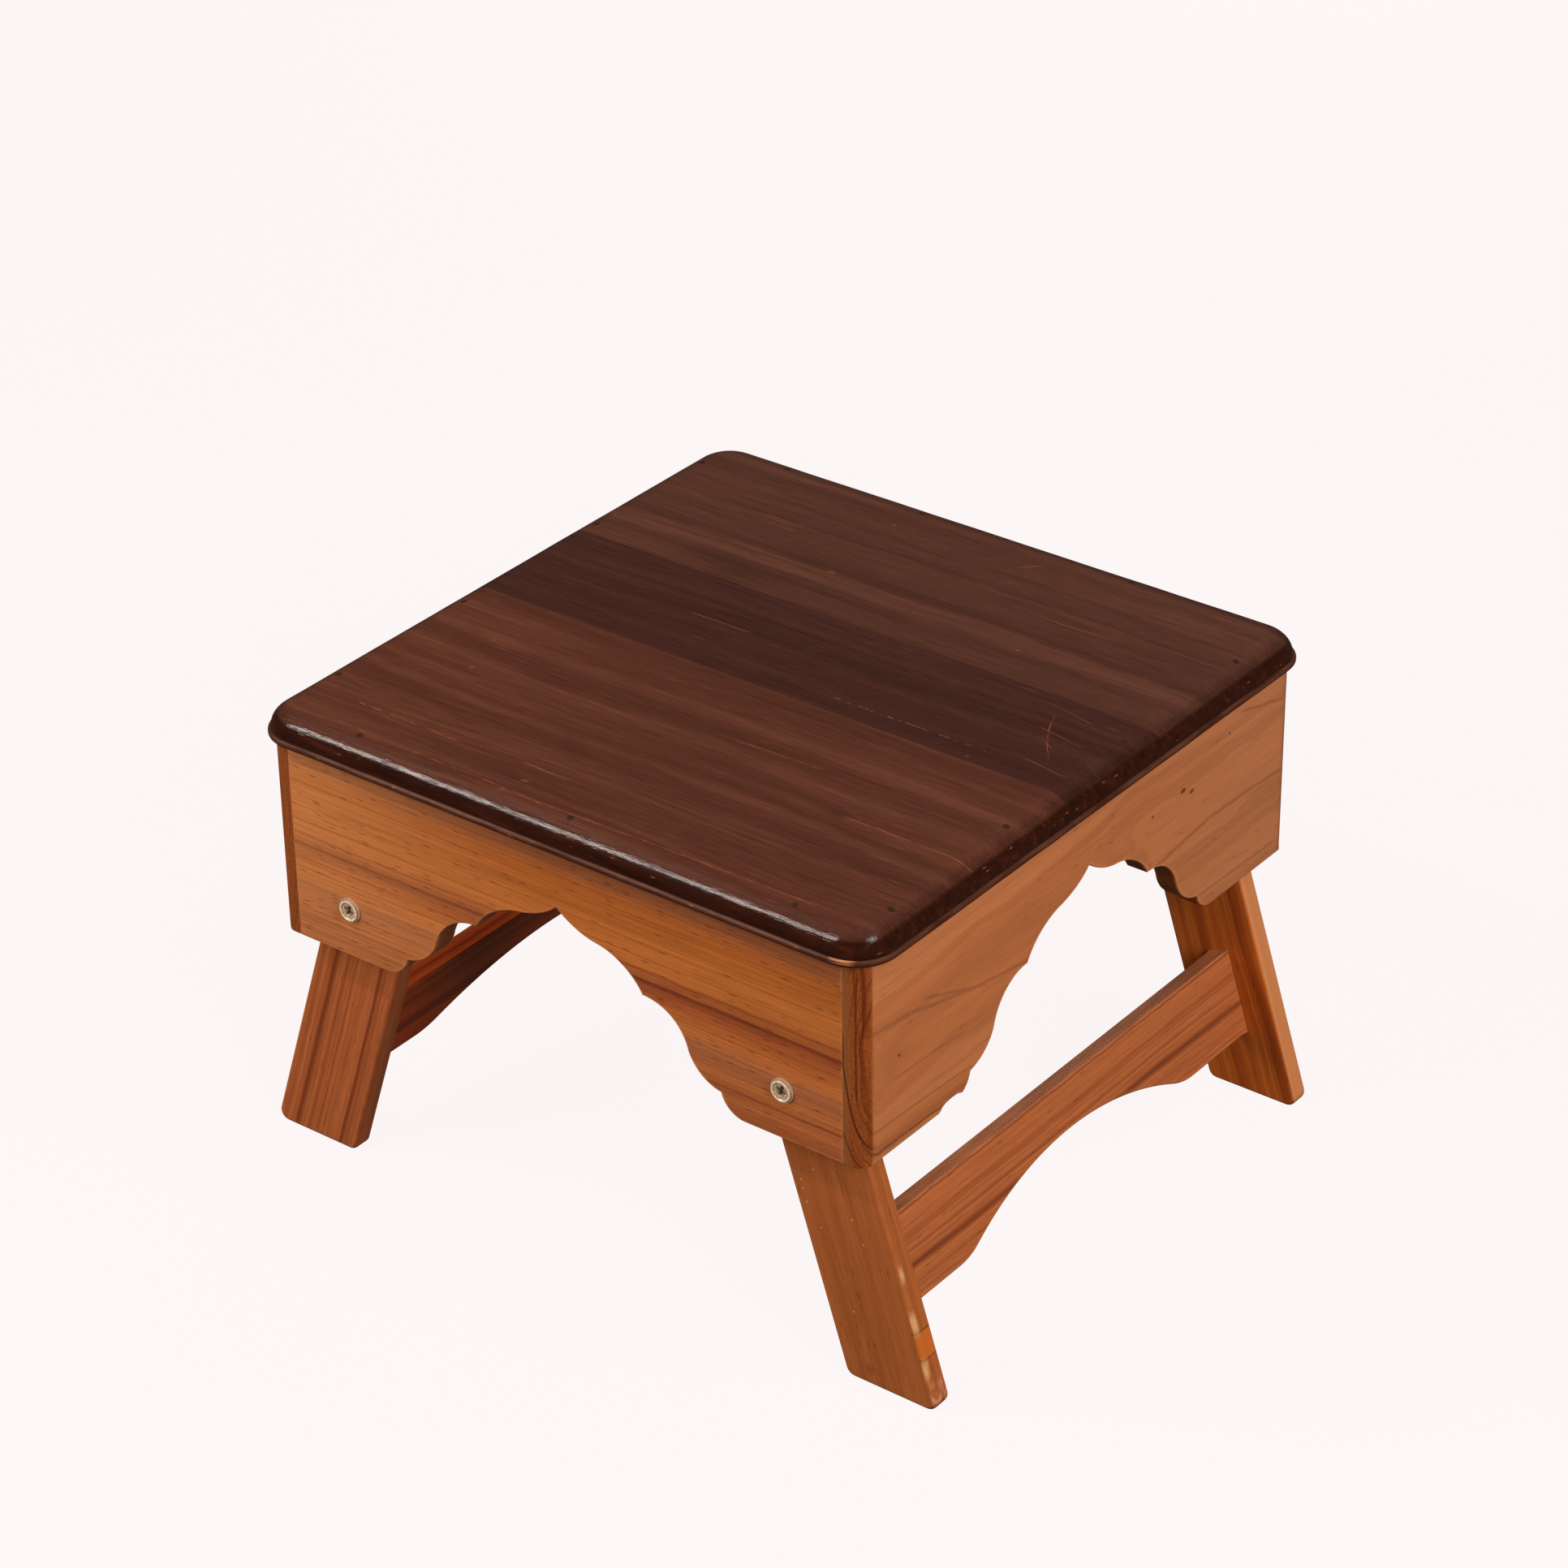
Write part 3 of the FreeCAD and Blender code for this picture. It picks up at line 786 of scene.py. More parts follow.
def corner_marks(s, colour):
    """Growth rings and stains on the near upright corner of the right end apron."""
    plane = s.joined(s.plus(s.w, s.times(s.wander, 0.25)), s.v, 0.0)
    here = s.step(s.end_grain, 0.2, 0.36)
    left = s.fall(s.u, -149, -140)
    grey = s.times(s.fall(s.w, -9.0, -6.0), here, left)
    colour = s.ink(colour, (124, 78, 44), grey, 0.6)
    lines = s.strokes(
        ((-10.2, 60), (-9.9, 44), 0.5), ((-9.9, 45), (-4.9, 19), 0.5, -0.5, 0.5, 0.6),
        ((-4.9, 19), (-0.2, 7.6), 0.5, -0.4, 0.5, 0.6), plane=plane)
    faint = s.strokes(
        ((-10.3, 15), (-3.2, 0), 0.45, -0.5, 0.5, 0.8), ((-5.6, 92), (-5.0, 66), 0.35, 0.3),
        ((-4.2, 88), (-4.4, 30), 0.4, -0.4), ((-2.4, 90), (-2.6, 58), 0.5, 0.3), plane=plane)
    stain = s.strokes(
        ((-3.4, 62), (-1.2, 26), 1.2), ((-1.2, 30), (-0.8, 6), 1.0), ((-2.6, 92), (-1.6, 60), 1.4),
        soft=0.9, plane=plane)
    colour = s.ink(colour, (52, 24, 12), s.times(s.most(*lines), left), 0.8)
    colour = s.ink(colour, (70, 28, 10), s.times(s.most(*faint), here, left), 0.7)
    return s.ink(colour, (92, 34, 12), s.times(s.most(*stain), left), 0.65)


def face_marks(s, colour):
    """Streaks, dots and the worn foot on the right end apron's face."""
    streaks = s.strokes(
        ((-148, 60.0), (-120, 57.5), 2.0), ((-121, 57.5), (-82, 48.5), 1.6, -0.6),
        ((-112, 59.5), (-70, 44), 1.2), ((-84, 48), (-43, 41.1), 1.3), ((48, 39.5), (88, 43.5), 1.5),
        ((88, 43.5), (142, 41.1), 1.5, 0.5), ((110, 83.5), (142, 75.5), 1.2), soft=0.9)
    low = s.strokes(
        ((-146, 14.5), (-80, 11.5), 1.1, 0.8), ((68, 9.5), (140, 7.5), 1.1),
        ((-132, 33), (-84, 30), 0.8, 0.5), soft=0.8)
    ring = s.strokes(((-149, 7.4), (-141, 4.2), 0.45, -0.4), ((-142, 4.4), (-98, 3.2), 0.45, 0.3),
                     fade=0.8)
    near = s.fall(s.u, -92, -86)
    chips = s.times(s.dashes((5, 1.2, 1.2), 0.3, 31.0), s.fall(s.v, 1.4, 2.6), near)
    dots = s.dots(((67, 66.3), 1.5, 1.6), ((73.5, 62.8), 1.3, 1.6), ((45, 64.5), 0.9),
                  ((101, 77.5), 0.9), ((-128, 42), 0.8, 1.5))
    colour = s.ink(colour, (116, 66, 44), s.most(*streaks), 0.55)
    colour = s.ink(colour, (120, 68, 42), s.most(*low), 0.5)
    colour = s.ink(colour, (156, 100, 60), s.times(s.fall(s.v, 2.6, 3.6), near), 0.5)
    colour = s.ink(colour, (76, 36, 20), s.most(*ring), 0.75)
    colour = s.ink(colour, (214, 170, 118), chips, 0.7)
    return s.ink(colour, (70, 34, 20), s.most(*dots), 0.8)


def end_apron_material(name, seed, marked=False):
    """Smoother, paler teak, sawn flat, with faint wandering streaks."""
    s = Shader(name)
    rings = ring_distance(s, (52, 140), 5.0, seed)
    figure = s.line_noise(s.times(rings, 0.16), roughness=0.55, seed=seed)
    colour = s.ramp(figure, [
        (0.22, (144, 83, 47)), (0.4, (158, 94, 55)), (0.55, (164, 100, 61)), (0.8, (157, 97, 62))])
    far = s.step(s.u, -60, 150)
    colour = s.blend(s.times(far, 0.45), colour, srgb(160, 104, 74))
    thin = s.hairlines(s.times(rings, 0.3), 0.035, seed + 9)
    colour = s.ink(colour, (118, 66, 42), thin, 0.22)
    if marked:
        colour = face_marks(s, colour)
    colour, height, fine = wood_detail(s, colour, seed, fibre=0.45, streak=0.3, pores=0.45, mottle=0.22,
                                       pore_share=0.06)
    colour = end_grained(s, colour, rings, srgb(128, 64, 26))
    if marked:
        colour = corner_marks(s, colour)
    colour, wear_and_painted_light = worn(s, colour, srgb(188, 124, 78), 0.35, seed)
    roughness = s.plus(0.46, s.times(fine, 0.14), s.times(wear_and_painted_light, 0.08))
    return s.finish(colour, roughness, height, bump=0.35)


def leg_marks(s, colour):
    """Repair, chips, stains and paint specks on the right front leg."""
    outer = s.step(s.v, 18.6, 19.6)
    patch = s.times(outer, s.step(s.u, 112.2, 113), s.fall(s.u, 123, 124.5))
    seams = s.strokes(((112.4, 18), (112.0, 24), 0.45), ((124.2, 18), (123.6, 24), 0.35), fade=0.5)
    chips = s.strokes(((104, 20.2), (112, 20.0), 1.1), ((125, 20.0), (132, 19.4), 1.2),
                      ((84, 20.4), (89, 20.4), 0.6))
    chips = s.times(s.step(s.w, -3.2, -1.5), s.most(*chips))
    patchy = s.step(s.noise((4, 2, 2), detail=3.0, seed=52.0), 0.42, 0.6)
    wear_and_painted_light = s.times(outer, s.step(s.u, 132, 141), patchy)
    stains = s.dots(((97, -4), 2.2, 1.0, 0.9), ((131, -9), 4.0, 1.0, 0.9))
    specks = [s.dot(place, 0.45) for place in (
        (47, -17), (51, -17.4), (57, -17), (42, -9), (63, 4), (68, -13.5), (105, -9), (74, 6))]
    colour = s.ink(colour, (176, 92, 30), patch, 0.75)
    colour = s.ink(colour, (92, 44, 22), s.most(*seams), 0.7)
    colour = s.ink(colour, (206, 166, 112), chips, 0.6)
    colour = s.ink(colour, (206, 150, 122), wear_and_painted_light, 0.5)
    colour = s.ink(colour, (84, 38, 20), s.most(*stains), 0.35)
    return s.ink(colour, (226, 190, 156), s.most(*specks), 0.6)


def painted_sunlit_rim(s, colour):
    """Painted light: the right back leg's sunlit outer side, painted paler than its face."""
    rim = s.step(s.math("ABSOLUTE", s.edgeways), 0.5, 0.8)
    return s.ink(colour, (186, 122, 78), rim, 0.8)


def painted_lit_top(s, colour):
    """Painted light: a stretcher's upper edge, painted paler where it faces up, with a dark line beside
    it.
    """
    upper = s.step(s.edgeways, 0.35, 0.75)
    patchy = s.noise((22, 4, 4), detail=3.0, seed=61.0)
    # Painted light: the pale tint laid on the upward face.
    wear_and_painted_light = s.tone(srgb(176, 110, 76), s.step(patchy, 0.3, 0.7, 0.7, 1.1))
    colour = s.blend(s.times(upper, 0.7), colour, wear_and_painted_light)
    line = s.stroke((-160, -STRETCHER_HIGH - 1.0), (160, -STRETCHER_HIGH - 1.0), 0.6)
    return s.ink(colour, (96, 38, 20), s.times(line, s.step(s.w, -1.6, -0.4)), 0.5)


def striped_material(name, seed, pith, pitch, dark, middle, light, contrast=1.0, wander=2.2, marks=None):
    """Teak with lengthwise stripes, for the legs and stretchers."""
    s = Shader(name)
    rings = ring_distance(s, pith, wander, seed)
    figure = s.line_noise(s.times(rings, 1 / pitch), roughness=0.62, seed=seed)
    spread = s.plus(0.5, s.swing(figure, contrast))
    colour = s.ramp(spread, [(0.28, dark), (0.42, middle), (0.56, light), (0.72, middle)])
    colour, height, fine = wood_detail(s, colour, seed)
    thin = s.hairlines(s.times(rings, 1.3 / pitch), 0.03, seed + 5)
    colour = s.ink(colour, dark, thin, 0.5 * contrast)
    colour = end_grained(s, colour, rings, srgb(*dark))
    colour, wear_and_painted_light = worn(s, colour, srgb(172, 98, 54), 0.3, seed)
    if marks:
        colour = marks(s, colour)
    height = s.times(height, s.step(s.math("ABSOLUTE", s.edgeways), 0.35, 0.75, 1.0, 0.15))
    roughness = s.plus(0.34, s.times(fine, 0.16), s.times(wear_and_painted_light, 0.12))
    return s.finish(colour, roughness, height, Coat_Weight=0.12, Coat_Roughness=0.2)


def front_scratches(s):
    """Scratches, worn spots and dents on the front board; x and y of the stool."""
    dashed = s.step(s.noise((4, 4, 4), detail=1.0, seed=41.0), 0.42, 0.56)
    along_edge, beside_it, inner = s.strokes(
        ((-118, -141.6), (-14, -143), 0.5), ((-32, -143.9), (119, -140.8), 0.55, 0.4),
        ((-123, -125), (-70, -125.4), 0.6))
    return s.most(
        s.times(along_edge, s.plus(0.3, s.times(dashed, 0.5))),
        s.times(beside_it, s.plus(0.6, s.times(dashed, 0.4))),
        s.times(inner, dashed),
        *s.strokes(((-36, -123), (-16, -123.3), 0.6), ((91, -82.4), (154, -82.9), 0.6, 0.5),
                   ((20, -60), (62, -58), 0.45)),
        *s.dots(((-104, -76.5), 1.2), ((-112, -53), 1.1), ((-27, -134), 1.1, 2.0)))


def middle_scratches(s):
    dashed = s.step(s.noise((3, 3, 3), detail=1.0, seed=43.0), 0.45, 0.58)
    return s.most(
        s.times(s.stroke((24, -9.2), (114, -8.6), 0.7), dashed),
        *s.strokes(((128, 2), (111.5, 30), 0.4, 1.6), ((118, 12), (126, 8), 0.3),
                   ((120, -4), (141, -7), 0.3), ((112, 20), (134, 16), 0.3),
                   ((104, 38), (127, 34), 0.3), ((-60, 14), (-31, 14.6), 0.4)),
        s.dot((101.5, -16), 1.0))


def back_scratches(s):
    return s.most(
        *s.dots(((-35, 77), 1.4, 1.6), ((68, 67), 1.0), ((-39.5, 128), 1.1)),
        *s.strokes(((27, 128), (33, 134), 0.7), ((60, 96), (96, 97), 0.4),
                   ((-92, 104), (-70, 103.6), 0.4)))


def top_wear(s, colour, seed, scratches):
    """Smudges, faint rubs and scratches on the top's face."""
    smudges = s.most(*s.dots(((-70, 55), 14, 3.0, 0.95), ((88, -82), 5, 1.6, 0.9)))
    colour = s.ink(colour, (40, 18, 12), smudges, 0.35)
    faint = s.dashes((15, 0.9, 9), 0.1, seed + 24)
    rubbed_area = s.step(s.noise((60, 40, 40), seed=seed + 25), 0.42, 0.7)
    colour = s.ink(colour, (150, 96, 70), s.times(faint, rubbed_area), 0.3)
    cross = s.dashes((0.8, 9, 9), 0.012, seed + 26)
    colour = s.ink(colour, (150, 96, 70), cross, 0.25)
    uneven = s.step(s.noise((5, 2, 2), seed=seed + 32), 0.3, 0.62, 0.25, 1.0)
    return s.ink(colour, (150, 80, 50), s.times(scratches(s), uneven), 0.48)


def dark_moulding_and_groove_shade(s, colour, lip, seed):
    """Near-black on the steeply rolled edge, painted shade in its groove, a worn lip and nicks."""
    rolled = s.times(s.fall(s.facing, 0.7, 0.84), s.step(s.facing, -0.95, -0.7))
    stain = s.noise((24, 3, 3), detail=3.0, roughness=0.6, seed=seed + 27)
    black = s.ramp(stain, [(0.3, (26, 8, 4)), (0.55, (40, 14, 7)), (0.75, (60, 24, 13))])
    colour = s.blend(rolled, colour, black)
    # Painted shade: the groove between lip and ovolo is painted near-black.
    colour = s.ink(colour, (14, 5, 3), s.fall(s.edge, -0.9, -0.2), 0.9)
    colour = s.ink(colour, (56, 24, 15), lip, 0.85)
    broken = s.step(s.noise((16, 16, 2), detail=3.0, seed=seed + 28), 0.3, 0.6)
    line = s.times(s.step(s.edge, 0.62, 0.95), broken)
    colour = s.ink(colour, (112, 74, 56), line, 0.3)
    nicks = s.times(s.dashes((5, 5, 1.0), 0.06, seed + 29), s.step(s.edge, -0.2, 0.1))
    colour = s.ink(colour, (150, 92, 60), s.times(nicks, rolled), 0.5)
    here = s.times(s.step(s.u, 136, 139), s.fall(s.u, 145, 148))
    return s.ink(colour, (206, 132, 86), s.times(here, line, s.fall(s.v, -150, -148)))


def top_material(name, seed, tint, scratches):
    """Dark stained and polished, with scratches; the moulding is nearly black."""
    s = Shader(name)
    rings = ring_distance(s, (-420, -60), 7.0, seed)
    figure = s.line_noise(s.times(rings, 0.11), detail=5.0, seed=seed)
    patches = s.noise((150, 16, 16), seed=seed + 11)
    mixed = s.plus(s.times(figure, 0.65), s.times(patches, 0.35))
    colour = s.ramp(mixed, list(zip((0.32, 0.5, 0.68), tint)))
    colour, height, fine = wood_detail(s, colour, seed, fibre=1.5, streak=0.5, pores=0.5, mottle=0.2)
    colour = top_wear(s, colour, seed, scratches)
    colour = s.tone(colour, s.step(s.facing, 0.86, 0.995, 0.66, 1.0))
    # Painted sheen: the top is painted up to 14 % lighter towards its left end.
    colour = s.tone(colour, s.step(s.u, -155, 20, 1.14, 1.0))
    lip = s.step(s.edge, 0.2, 0.5)
    colour = dark_moulding_and_groove_shade(s, colour, lip, seed)
    rough_grain = s.noise((4, 1.4, 1.4), detail=3.0, roughness=0.7, seed=seed + 30)
    height = s.plus(height, s.times(rough_grain, 1.3, s.fall(s.facing, 0.9, 0.99)))
    polish = s.fall(s.facing, 0.82, 0.93)
    roughness = s.plus(0.42, s.times(fine, 0.1), s.times(polish, -0.34), s.times(lip, 0.3))
    return s.finish(colour, roughness, height, bump=0.32, Specular_IOR_Level=0.4)


def metal_material(name, base, rough, metallic, seed):
    s = Shader(name)
    stain = s.noise((1.4, 1.4, 1.4), detail=3.0, seed=seed)
    swirl = s.noise((0.25, 0.25, 0.25), seed=seed + 2)
    colour = s.tone(srgb(*base), s.step(stain, 0.3, 0.7, 0.75, 1.1))
    roughness = s.plus(rough, s.swing(stain, 0.2))
    return s.finish(colour, roughness, swirl, bump=0.15, reach=0.00005, Metallic=metallic)


def screw_material():
    """Nickel-plated heads, with painted highlight and shade: a bright rim round a darker dish, and painted
    shade in the recess.
    """
    s = Shader("nickel_heads")
    aside = s.plus(s.math("ABSOLUTE", s.u), -PIVOT.x)
    above = s.plus(s.w, -PIVOT.z)
    radius = s.math("SQRT", s.plus(s.times(aside, aside), s.times(above, above)))
    # Painted highlight and shade: bright rings where the rim catches light, a dark ring at its inner wall.
    colour = s.ramp(s.times(radius, 0.1), [
        (0.0, (140, 112, 88)), (0.2, (168, 140, 114)), (0.3, (206, 178, 150)),
        (0.365, (170, 138, 110)), (0.39, (246, 228, 208)), (0.45, (236, 214, 192)),
        (0.475, (176, 144, 116))])
    stain = s.noise((0.9, 0.9, 0.9), detail=3.0, seed=2.0)
    colour = s.tone(colour, s.step(stain, 0.3, 0.7, 0.7, 1.15))
    dish = SCREW_FACE - HEAD_DISH
    sunk = s.fall(s.math("ABSOLUTE", s.v), dish - 0.9, dish - 0.2)
    # Painted shade in the cross recess.
    colour = s.ink(colour, (74, 54, 40), s.times(sunk, s.fall(radius, 2.6, 2.8)), 0.7)
    roughness = s.plus(0.3, s.times(stain, 0.12))
    return s.finish(colour, roughness, stain, bump=0.15, reach=0.00005, Metallic=0.3)


def pin_material():
    """Cut ends of bamboo pins, darkened by the stain."""
    s = Shader("filled_pin")
    stain = s.noise((0.5, 0.5, 0.5), detail=3.0, seed=9.0)
    colour = s.ramp(stain, [(0.3, (22, 12, 9)), (0.7, (60, 36, 26))])
    return s.finish(colour, s.plus(0.45, s.times(stain, 0.3)), stain, bump=0.3, reach=0.0001)


# ---- boards --------------------------------------------------------------

def apron(node, u, w, path, half, thickness, outer, material, slot, **extra):
    """One scalloped board; outer holds the radii of its outer face's arrises."""
    inner = (BUTT_ARRIS, SAWN_ARRIS, HIDDEN_ARRIS, SCALLOP_ARRIS)
    mesh = slab(node + "_board", lambda angle, band: apron_ring(half, outer, path, angle, band), thickness,
                lambda angle, band: apron_ring(half, inner, path, angle, band), **extra)
    board(mesh, placed(w * HALF + Z * APRON_LOW, u, Z, w), material, "box", node)


def build_aprons():
    """The front and back aprons stand between the end aprons."""
    radii = (BUTT_ARRIS, SAWN_ARRIS, HIDDEN_ARRIS, SCALLOP_ARRIS)
    holes = [(sign * PIVOT.x, PIVOT.z - APRON_LOW) for sign in (-1, 1)]
    for node, u, w, seed in (("front_apron", X, -Y, 1.3), ("back_apron", -X, Y, 8.1)):
        material = front_apron_material("teak_" + node, seed)
        apron(node, u, w, SCALLOP_PATH, LONG_HALF, LONG_T, radii, material, "teak_apron", holes=holes)
    radii = (CORNER_R, END_BOTTOM_R, HIDDEN_ARRIS, SCALLOP_ARRIS)
    for node, u, w, seed, path in (("left_end_apron", -Y, -X, 4.4, SCALLOP_PATH),
                                   ("right_end_apron", Y, X, 2.6, CHIPPED_PATH)):
        material = end_apron_material("teak_" + node, seed, marked=path is CHIPPED_PATH)
        apron(node, u, w, path, HALF, END_T, radii, material, "teak_end_apron", corner=(HALF, CORNER_R))


def splayed(side):
    """Directions down a leg and out across it, on the left (-1) or the right (1)."""
    return (Vector((side * math.sin(SPLAY), 0, -math.cos(SPLAY))),
            Vector((side * math.cos(SPLAY), 0, math.sin(SPLAY))))


def build_legs():
    looks = {
        "left_leg_front": (3.1, (90, 60), 5.0, (108, 48, 23), (138, 70, 36), (160, 88, 48)),
        "left_leg_back": (6.3, (70, 90), 6.0, (100, 46, 22), (140, 72, 36), (158, 86, 44)),
        "right_leg_front": (5.7, (-140, 110), 12.0, (124, 64, 32), (140, 75, 36), (152, 84, 42),
                            0.6, 2.2, leg_marks),
        # The right back leg's outer side gets painted light, paler than its face.
        "right_leg_back": (9.9, (-30, -30), 9.0, (120, 48, 12), (160, 74, 20), (174, 90, 32),
                           0.8, 6.0, painted_sunlit_rim),
    }
    for side, side_name in SIDES:
        along, across = splayed(side)
        for end, end_name in ((-1, "front"), (1, "back")):
            node = "%s_leg_%s" % (side_name, end_name)
            outward = Y * end
            flipped = along.cross(across).dot(outward) < 0
            outline = leg_outline(flipped)
            mesh = slab(node + "_board", lambda angle, band: plain_ring(outline, LEG_ARRIS, angle, band),
                        LEG_T, holes=[(0, 0)])
            material = striped_material("teak_leg_%s_%s" % (side_name, end_name), *looks[node])
            origin = Vector((side * PIVOT.x, end * -LEG_LOW.y, PIVOT.z))
            matrix = placed(origin, along, -across if flipped else across, outward)
            board(mesh, matrix, material, side_name + "_frame", node)


def build_stretchers():
    half = -LEG_HIGH.y
    outline = stretcher_outline(half)
    on_end = np.abs(outline[:, 0]) > half - 1e-6
    radius = np.where(on_end, BUTT_ARRIS, STRETCHER_ARRIS)
    looks = {
        # Painted shade: the left stretcher's tints are darker and redder than the right's, for its shaded
        # inner face.
        "left": (7.7, (-190, 80), 5.0, (104, 30, 8), (150, 54, 14), (172, 68, 20), 0.9),
        # The right stretcher's upper edge is painted paler, as painted light.
        "right": (1.9, (-190, 80), 5.0, (104, 48, 26), (144, 77, 42), (160, 90, 50), 0.9, 2.2, painted_lit_top),
    }
    for side, side_name in SIDES:
        along, across = splayed(side)
        node = side_name + "_stretcher"
        mesh = slab(node + "_board", lambda angle, band: plain_ring(outline, radius, angle, band),
                    STRETCHER_T)
        material = striped_material("teak_" + node, *looks[side_name])
        origin = Vector((side * PIVOT.x, 0, PIVOT.z)) + across * STRETCHER_T / 2
        matrix = placed(origin, Y * side, -along, across)
        board(mesh, matrix, material, side_name + "_frame", node)


# ---- top -----------------------------------------------------------------

def rounded_square(inset, height):
    """Ring round the top, drawn in from the lip, with small hand-made dents."""
    half = TOP_HIGH.x - inset
    radius = max(TOP_CORNER_R - inset, 2.0)
    points = []
    for quarter in range(4):
        turn = quarter * QUARTER
        corner = turned((half - radius, half - radius), radius, 0, QUARTER, count=13)
        side = run(corner[-1], (-(half - radius), half), 44)
        rotation = np.array([[math.cos(turn), math.sin(turn)], [-math.sin(turn), math.cos(turn)]])
        points.append(np.vstack([corner[:-1], side]) @ rotation)
    ring = np.vstack(points)
    for point in ring:
        dent = 0.16 * noise.noise(Vector((point[0] / 22, point[1] / 22, height / 9)))
        point *= 1 + dent / half
    return ring


def top_profile():
    """(inset, height, edge) up the moulding: lip, quirk, ovolo and face."""
    low = APRON_TOP
    high = TOP_HIGH.z
    lip = low + LIP_T
    profile = [(12.0, low, 0.0), (LIP_ROUND + 1.0, low, 0.0)]
    quarter = [i * QUARTER / 4 for i in range(5)]
    profile += [(LIP_ROUND * (1 - math.sin(a)), low + LIP_ROUND * (1 - math.cos(a)), 0.5) for a in quarter]
    profile += [(LIP_ROUND * (1 - math.cos(a)), lip - LIP_ROUND * (1 - math.sin(a)), 1.0) for a in quarter]
    profile += [(QUIRK + 0.2, lip, -1.0), (QUIRK, lip + 0.2, -1.0), (QUIRK, high - OVOLO_TALL, -0.3)]
    profile += [(QUIRK + OVOLO_WIDE * (1 - math.cos(a)), high - OVOLO_TALL * (1 - math.sin(a)), 0.0)
                for a in (i * QUARTER / 12 for i in range(1, 13))]
    profile += [(QUIRK + OVOLO_WIDE + 3, high, 0.0), (30.0, high, 0.0)]
    return profile


def top_blank():
    bm = bmesh.new()
    layer = bm.verts.layers.float.new("edge")
    rings = []
    for inset, height, edge in top_profile():
        points = rounded_square(inset, height)
        full = np.full(len(points), 1.0)
        rings.append(ring_vertices(bm, layer, points, full * height, full * edge))
    lofted(bm, rings)
    return bm


def cut_board(bm, low, high):
    """Keep the part of the blank between two levels of y, and close its cut sides."""
    for level, outward in ((low, -Y), (high, Y)):
        if abs(level) < TOP_HIGH.x - GLUE:
            everything = bm.verts[:] + bm.edges[:] + bm.faces[:]
            cut = bmesh.ops.bisect_plane(bm, geom=everything, plane_co=Y * (level - outward.y * GLUE) * MM,
                                         plane_no=outward, clear_outer=True)
            edges = [item for item in cut["geom_cut"] if isinstance(item, bmesh.types.BMEdge)]
            bmesh.ops.edgeloop_fill(bm, edges=edges)


def build_top():
    looks = {
        "top_board_front": (((68, 34, 24), (79, 42, 30), (93, 53, 39)), front_scratches),
        "top_board_middle": (((52, 26, 21), (58, 30, 25), (67, 37, 31)), middle_scratches),
        "top_board_back": (((66, 36, 28), (78, 45, 35), (89, 53, 41)), back_scratches),
    }
    for seed, (node, (tint, scratches)) in enumerate(looks.items()):
        low, high = box_mm(node)
        bm = top_blank()
        cut_board(bm, low.y, high.y)
        mesh = finish_mesh(bm, node + "_wood", sharp=50)
        material = top_material("stained_" + node, 2.3 + 4.1 * seed, tint, scratches)
        board(mesh, Matrix.Identity(4), material, "box", node)


def crown_height(x, y):
    """Height of the top's surface at a point, down the moulding's roll."""
    inset = TOP_HIGH.x - max(abs(x), abs(y)) - QUIRK
    share = min(1.0, max(0.0, 1 - inset / OVOLO_WIDE))
    return TOP_HIGH.z - OVOLO_TALL * (1 - math.sqrt(1 - share**2))


def build_pins():
    """The ends of the bamboo pins that hold the top, level with its surface."""
    edge = box_mm("top_pins")[1].x - PIN_R
    places = [(x, -edge) for x in FRONT_PINS]
    places += [(x, edge) for x in BACK_PINS]
    places += [(-edge, y) for y in LEFT_PINS]
    places += [(edge, y) for y in RIGHT_PINS]
    bm = bmesh.new()
    disc = turned((0, 0), FILLER_R, 0, FULL, 0.4 * FILLER_R)[:-1]
    for x, y in places:
        rings = []
        for share, rise in ((1.0, -0.8), (1.0, 0.0), (0.8, 0.06), (0.4, 0.03)):
            ring = [(x + a * share, y + b * share) for a, b in disc]
            rings.append([bm.verts.new(Vector((*at, crown_height(*at) + rise)) * MM) for at in ring])
        lofted(bm, rings)
    mesh = finish_mesh(bm, "top_pins_ends")
    piece(mesh, Matrix.Identity(4), pin_material(), "box", "top_pins")


def screw_rows(face, seat, end):
    """(radius, height along the axis) from the dish over the rim to the tip."""
    rim = HEAD_R - HEAD_RIM
    rows = [(0.25 * i, face + HEAD_DISH) for i in range(1, 13)]
    rows += [(rim - 0.35, face + HEAD_DISH - 0.1), (rim - 0.1, face + 0.2), (rim + 0.05, face + 0.04)]
    rows += [(HEAD_R - 0.5, face), (HEAD_R - 0.25, face + 0.12), (HEAD_R - 0.05, face + 0.42)]
    rows += [(HEAD_R, face + 0.8), (HEAD_R, seat - 0.3), (HEAD_R - 0.1, seat), (SHANK_R, seat)]
    return rows + [(SHANK_R, end - 0.5), (SHANK_R - 0.5, end)]


def recess(radius, angle):
    """Depth of the cross recess under the dish."""
    reach = 1 - min(1.0, max(0.0, (radius - 1.9) / 0.7))
    x = abs(radius * math.cos(angle))
    z = abs(radius * math.sin(angle))
    wall = min(1.0, max(0.0, (0.75 - min(x, z)) / 0.25))
    return 1.1 * reach * wall


def screw(bm, x, side, rows, face):
    """One screw about the point x, on the front (side 1) or the back (-1)."""
    rings = []
    for radius, height in rows:
        on_dish = height < face + 1.0 and radius < 3.2
        ring = []
        for i in range(SCREW_SIDES):
            angle = i * FULL / SCREW_SIDES
            sunk = recess(radius, angle + CROSS_TURN) if on_dish else 0.0
            across = x + radius * math.cos(angle)
            up = PIVOT.z + radius * math.sin(angle)
            ring.append(bm.verts.new((across * MM, -side * (height + sunk) * MM, up * MM)))
        rings.append(ring)
    lofted(bm, rings)


